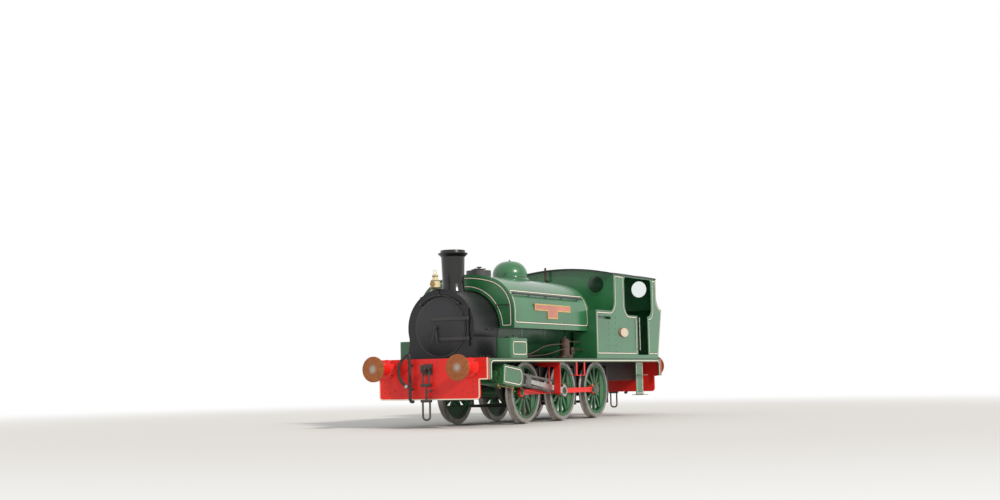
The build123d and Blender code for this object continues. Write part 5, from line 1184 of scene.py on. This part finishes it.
def roofRib(x, c):
    swing = asin(c["half"] / c["radius"])
    start = (c["half"], c["centreZ"] + cos(swing) * c["radius"])
    route = (start, pi - swing, [(c["radius"], 2 * degrees(swing))])
    return ribbon("roofRib", route, c["width"], "x", x, band=True, thick=c["up"], closed=False)


ribs = [roofRib(x, roofSetup) for x in roofSetup["ribs"]]
mount(joined("roofRibs", ribs), "roofBlack")

# sloping back of the bunker: lined panel and rivets in the plane of the sheet
backSetup = {
    "foot": (-3.749, 0, 1.224), "waist": (-4.006, 2.305),
    "half": 1.08, "low": 0.13, "high": 1.03, "corner": 0.07,
    "lines": (("backLining", 0.016, 0.002, "cream", "lamp_enamel"),
              ("backLiningEdge", 0.036, 0.001, "liningBlack", "black_frames")),
    "sideY": (-1.16, 1.16), "sideZ": (0.12, 0.28, 0.44, 0.6, 0.76, 0.92, 1.06),
    "topY": (-0.96, -0.72, -0.48, -0.24, 0, 0.24, 0.48, 0.72, 0.96), "topZ": 1.075, "cabX": -3.725,
    "cab": ((1.15, 2.4), (1.15, 2.55), (1.15, 2.7), (1.15, 2.85), (1.05, 2.97), (0.75, 3.02), (0.45, 3.05),
            (0.15, 3.07)),
}


def backSlope(c):
    tilt = atan2(c["foot"][0] - c["waist"][0], c["waist"][1] - c["foot"][2])
    return Matrix.Translation(c["foot"]) @ Matrix.Rotation(-tilt, 4, "Y") @ Matrix.Rotation(pi, 4, "Z")


def backRivetSpots(c, slope):
    rows = [(y, z) for y in c["sideY"] for z in c["sideZ"]]
    rows += [(y, c["topZ"]) for y in c["topY"]]
    facing = tuple(slope.to_3x3() @ Vector(ahead))
    spots = [(tuple(slope @ Vector((0, y, z))), facing) for y, z in rows]
    return spots + [((c["cabX"], side * y, z), back) for side in (1, -1) for y, z in c["cab"]]


slope = backSlope(backSetup)
half, low, high, bend = (backSetup[key] for key in ("half", "low", "high", "corner"))
panel = corners([(half, low, bend), (half, high, bend), (-half, high, bend), (-half, low, bend)])
for name, width, up, finish, slotName in backSetup["lines"]:
    strip = ribbon(name, panel, width, "x", 0.0, thick=up)
    strip.matrix_world = slope
    applyAll(strip)
    mount(strip, finish)
# the bunker back's rivets take the darker copy of the green: painted shade
rivets("cabBackRivets", backRivetSpots(backSetup, slope), "greenPaintedShade", scale=rivetSetup["small"],
       sides=False)
print("cab back")

# firebox backplate in the cab: gauges, valves with handwheels, pipes and the firehole latch
dialSetup = {
    "dialCase": [(0.068, -0.004), (0.068, 0.022), (0.06, 0.028), (0.056, 0.028), (0.055, 0.02)],
    "dialFace": [(0.054, -0.004), (0.054, 0.021), (0.01, 0.021), (0.008, 0.025)],
    "sides": 36, "places": [(-1.6, 0.0, 2.365), (-1.6, -0.185, 2.3)],
}
dialSpots = [(place, back) for place in dialSetup["places"]]
for name, part, finish, slotName in (("gaugeCases", "dialCase", "brass", "brass_fittings"),
                                     ("gaugeFaces", "dialFace", "plateCream", "lamp_enamel")):
    disc = turned(part, dialSetup[part], sides=dialSetup["sides"])
    mount(scatter(name, disc, dialSpots), finish)
handwheelSetup = {
    "rimZ": 0.07, "rim": (0.04, 0.01, 0.008), "spoke": 0.041, "spokeRadius": 0.004, "turn": 0.3,
    "stem": [(0.026, -0.004), (0.026, 0.02), (0.018, 0.03), (0.009, 0.034), (0.009, 0.066), (0.014, 0.068),
             (0.014, 0.076), (0.006, 0.08)],
    "sides": 18,
    "places": [(-1.6, y, z) for y, z in ((0.45, 2.05), (-0.45, 2.05), (0.5, 1.86), (-0.5, 1.86))],
}


def handwheel(c):
    rim = hoop("wheelRim", (0, 0, c["rimZ"]), "z", *c["rim"])
    stem = turned("wheelStem", c["stem"], sides=c["sides"])
    spokes = []
    for a in (c["turn"], c["turn"] + pi / 2):
        x, y = c["spoke"] * cos(a), c["spoke"] * sin(a)
        ends = [(-x, -y, c["rimZ"]), (x, y, c["rimZ"])]
        spokes.append(pipe("wheelSpoke", ends, c["spokeRadius"], smooth=False))
    return joined("handwheel", [rim, stem] + spokes)


valves = [(place, back) for place in handwheelSetup["places"]]
mount(scatter("steamValves", handwheel(handwheelSetup), valves), "brass")
cabPipeSetup = {
    "side": [(-1.62, 0.45, 2.03), (-1.62, 0.45, 1.98), (-1.64, 0.56, 1.9), (-1.64, 0.6, 1.7),
             (-1.64, 0.6, 1.31)], "sideRadius": 0.014,
    "gauge": [(-1.606, 0.0, 2.3), (-1.64, 0.0, 2.27), (-1.64, 0.06, 2.262), (-1.606, 0.1, 2.262)],
    "gaugeRadius": 0.006,
    "latch": [(-1.63, -0.13, 1.735), (-1.665, -0.12, 1.735), (-1.672, -0.06, 1.735), (-1.672, 0.12, 1.735),
              (-1.665, 0.15, 1.745)], "latchRadius": 0.01,
    "hinges": [((-1.642, 0.12, z - 0.015), (-1.626, 0.215, z + 0.015)) for z in (1.69, 1.78)],
}


def cabPipes(c):
    parts = [pipe("cabPipe", [(x, side * y, z) for x, y, z in c["side"]], c["sideRadius"]) for side in (1, -1)]
    parts.append(pipe("gaugePipe", c["gauge"], c["gaugeRadius"]))
    return joined("cabPipes", parts)


mount(cabPipes(cabPipeSetup), "pipeBrown")
latch = pipe("fireholeLatch", cabPipeSetup["latch"], cabPipeSetup["latchRadius"])
hinges = [block("fireholeHinge", low, high) for low, high in cabPipeSetup["hinges"]]
mount(joined("fireholeFittings", [latch] + hinges), "strapBlack")
# the backplate's rivets take the darker copy of the green: painted shade
rivets("backplateRivets", circle(*rivetSetup["backplate"], back), "greenPaintedShade",
       scale=rivetSetup["large"], sides=False)
print("cab fittings")
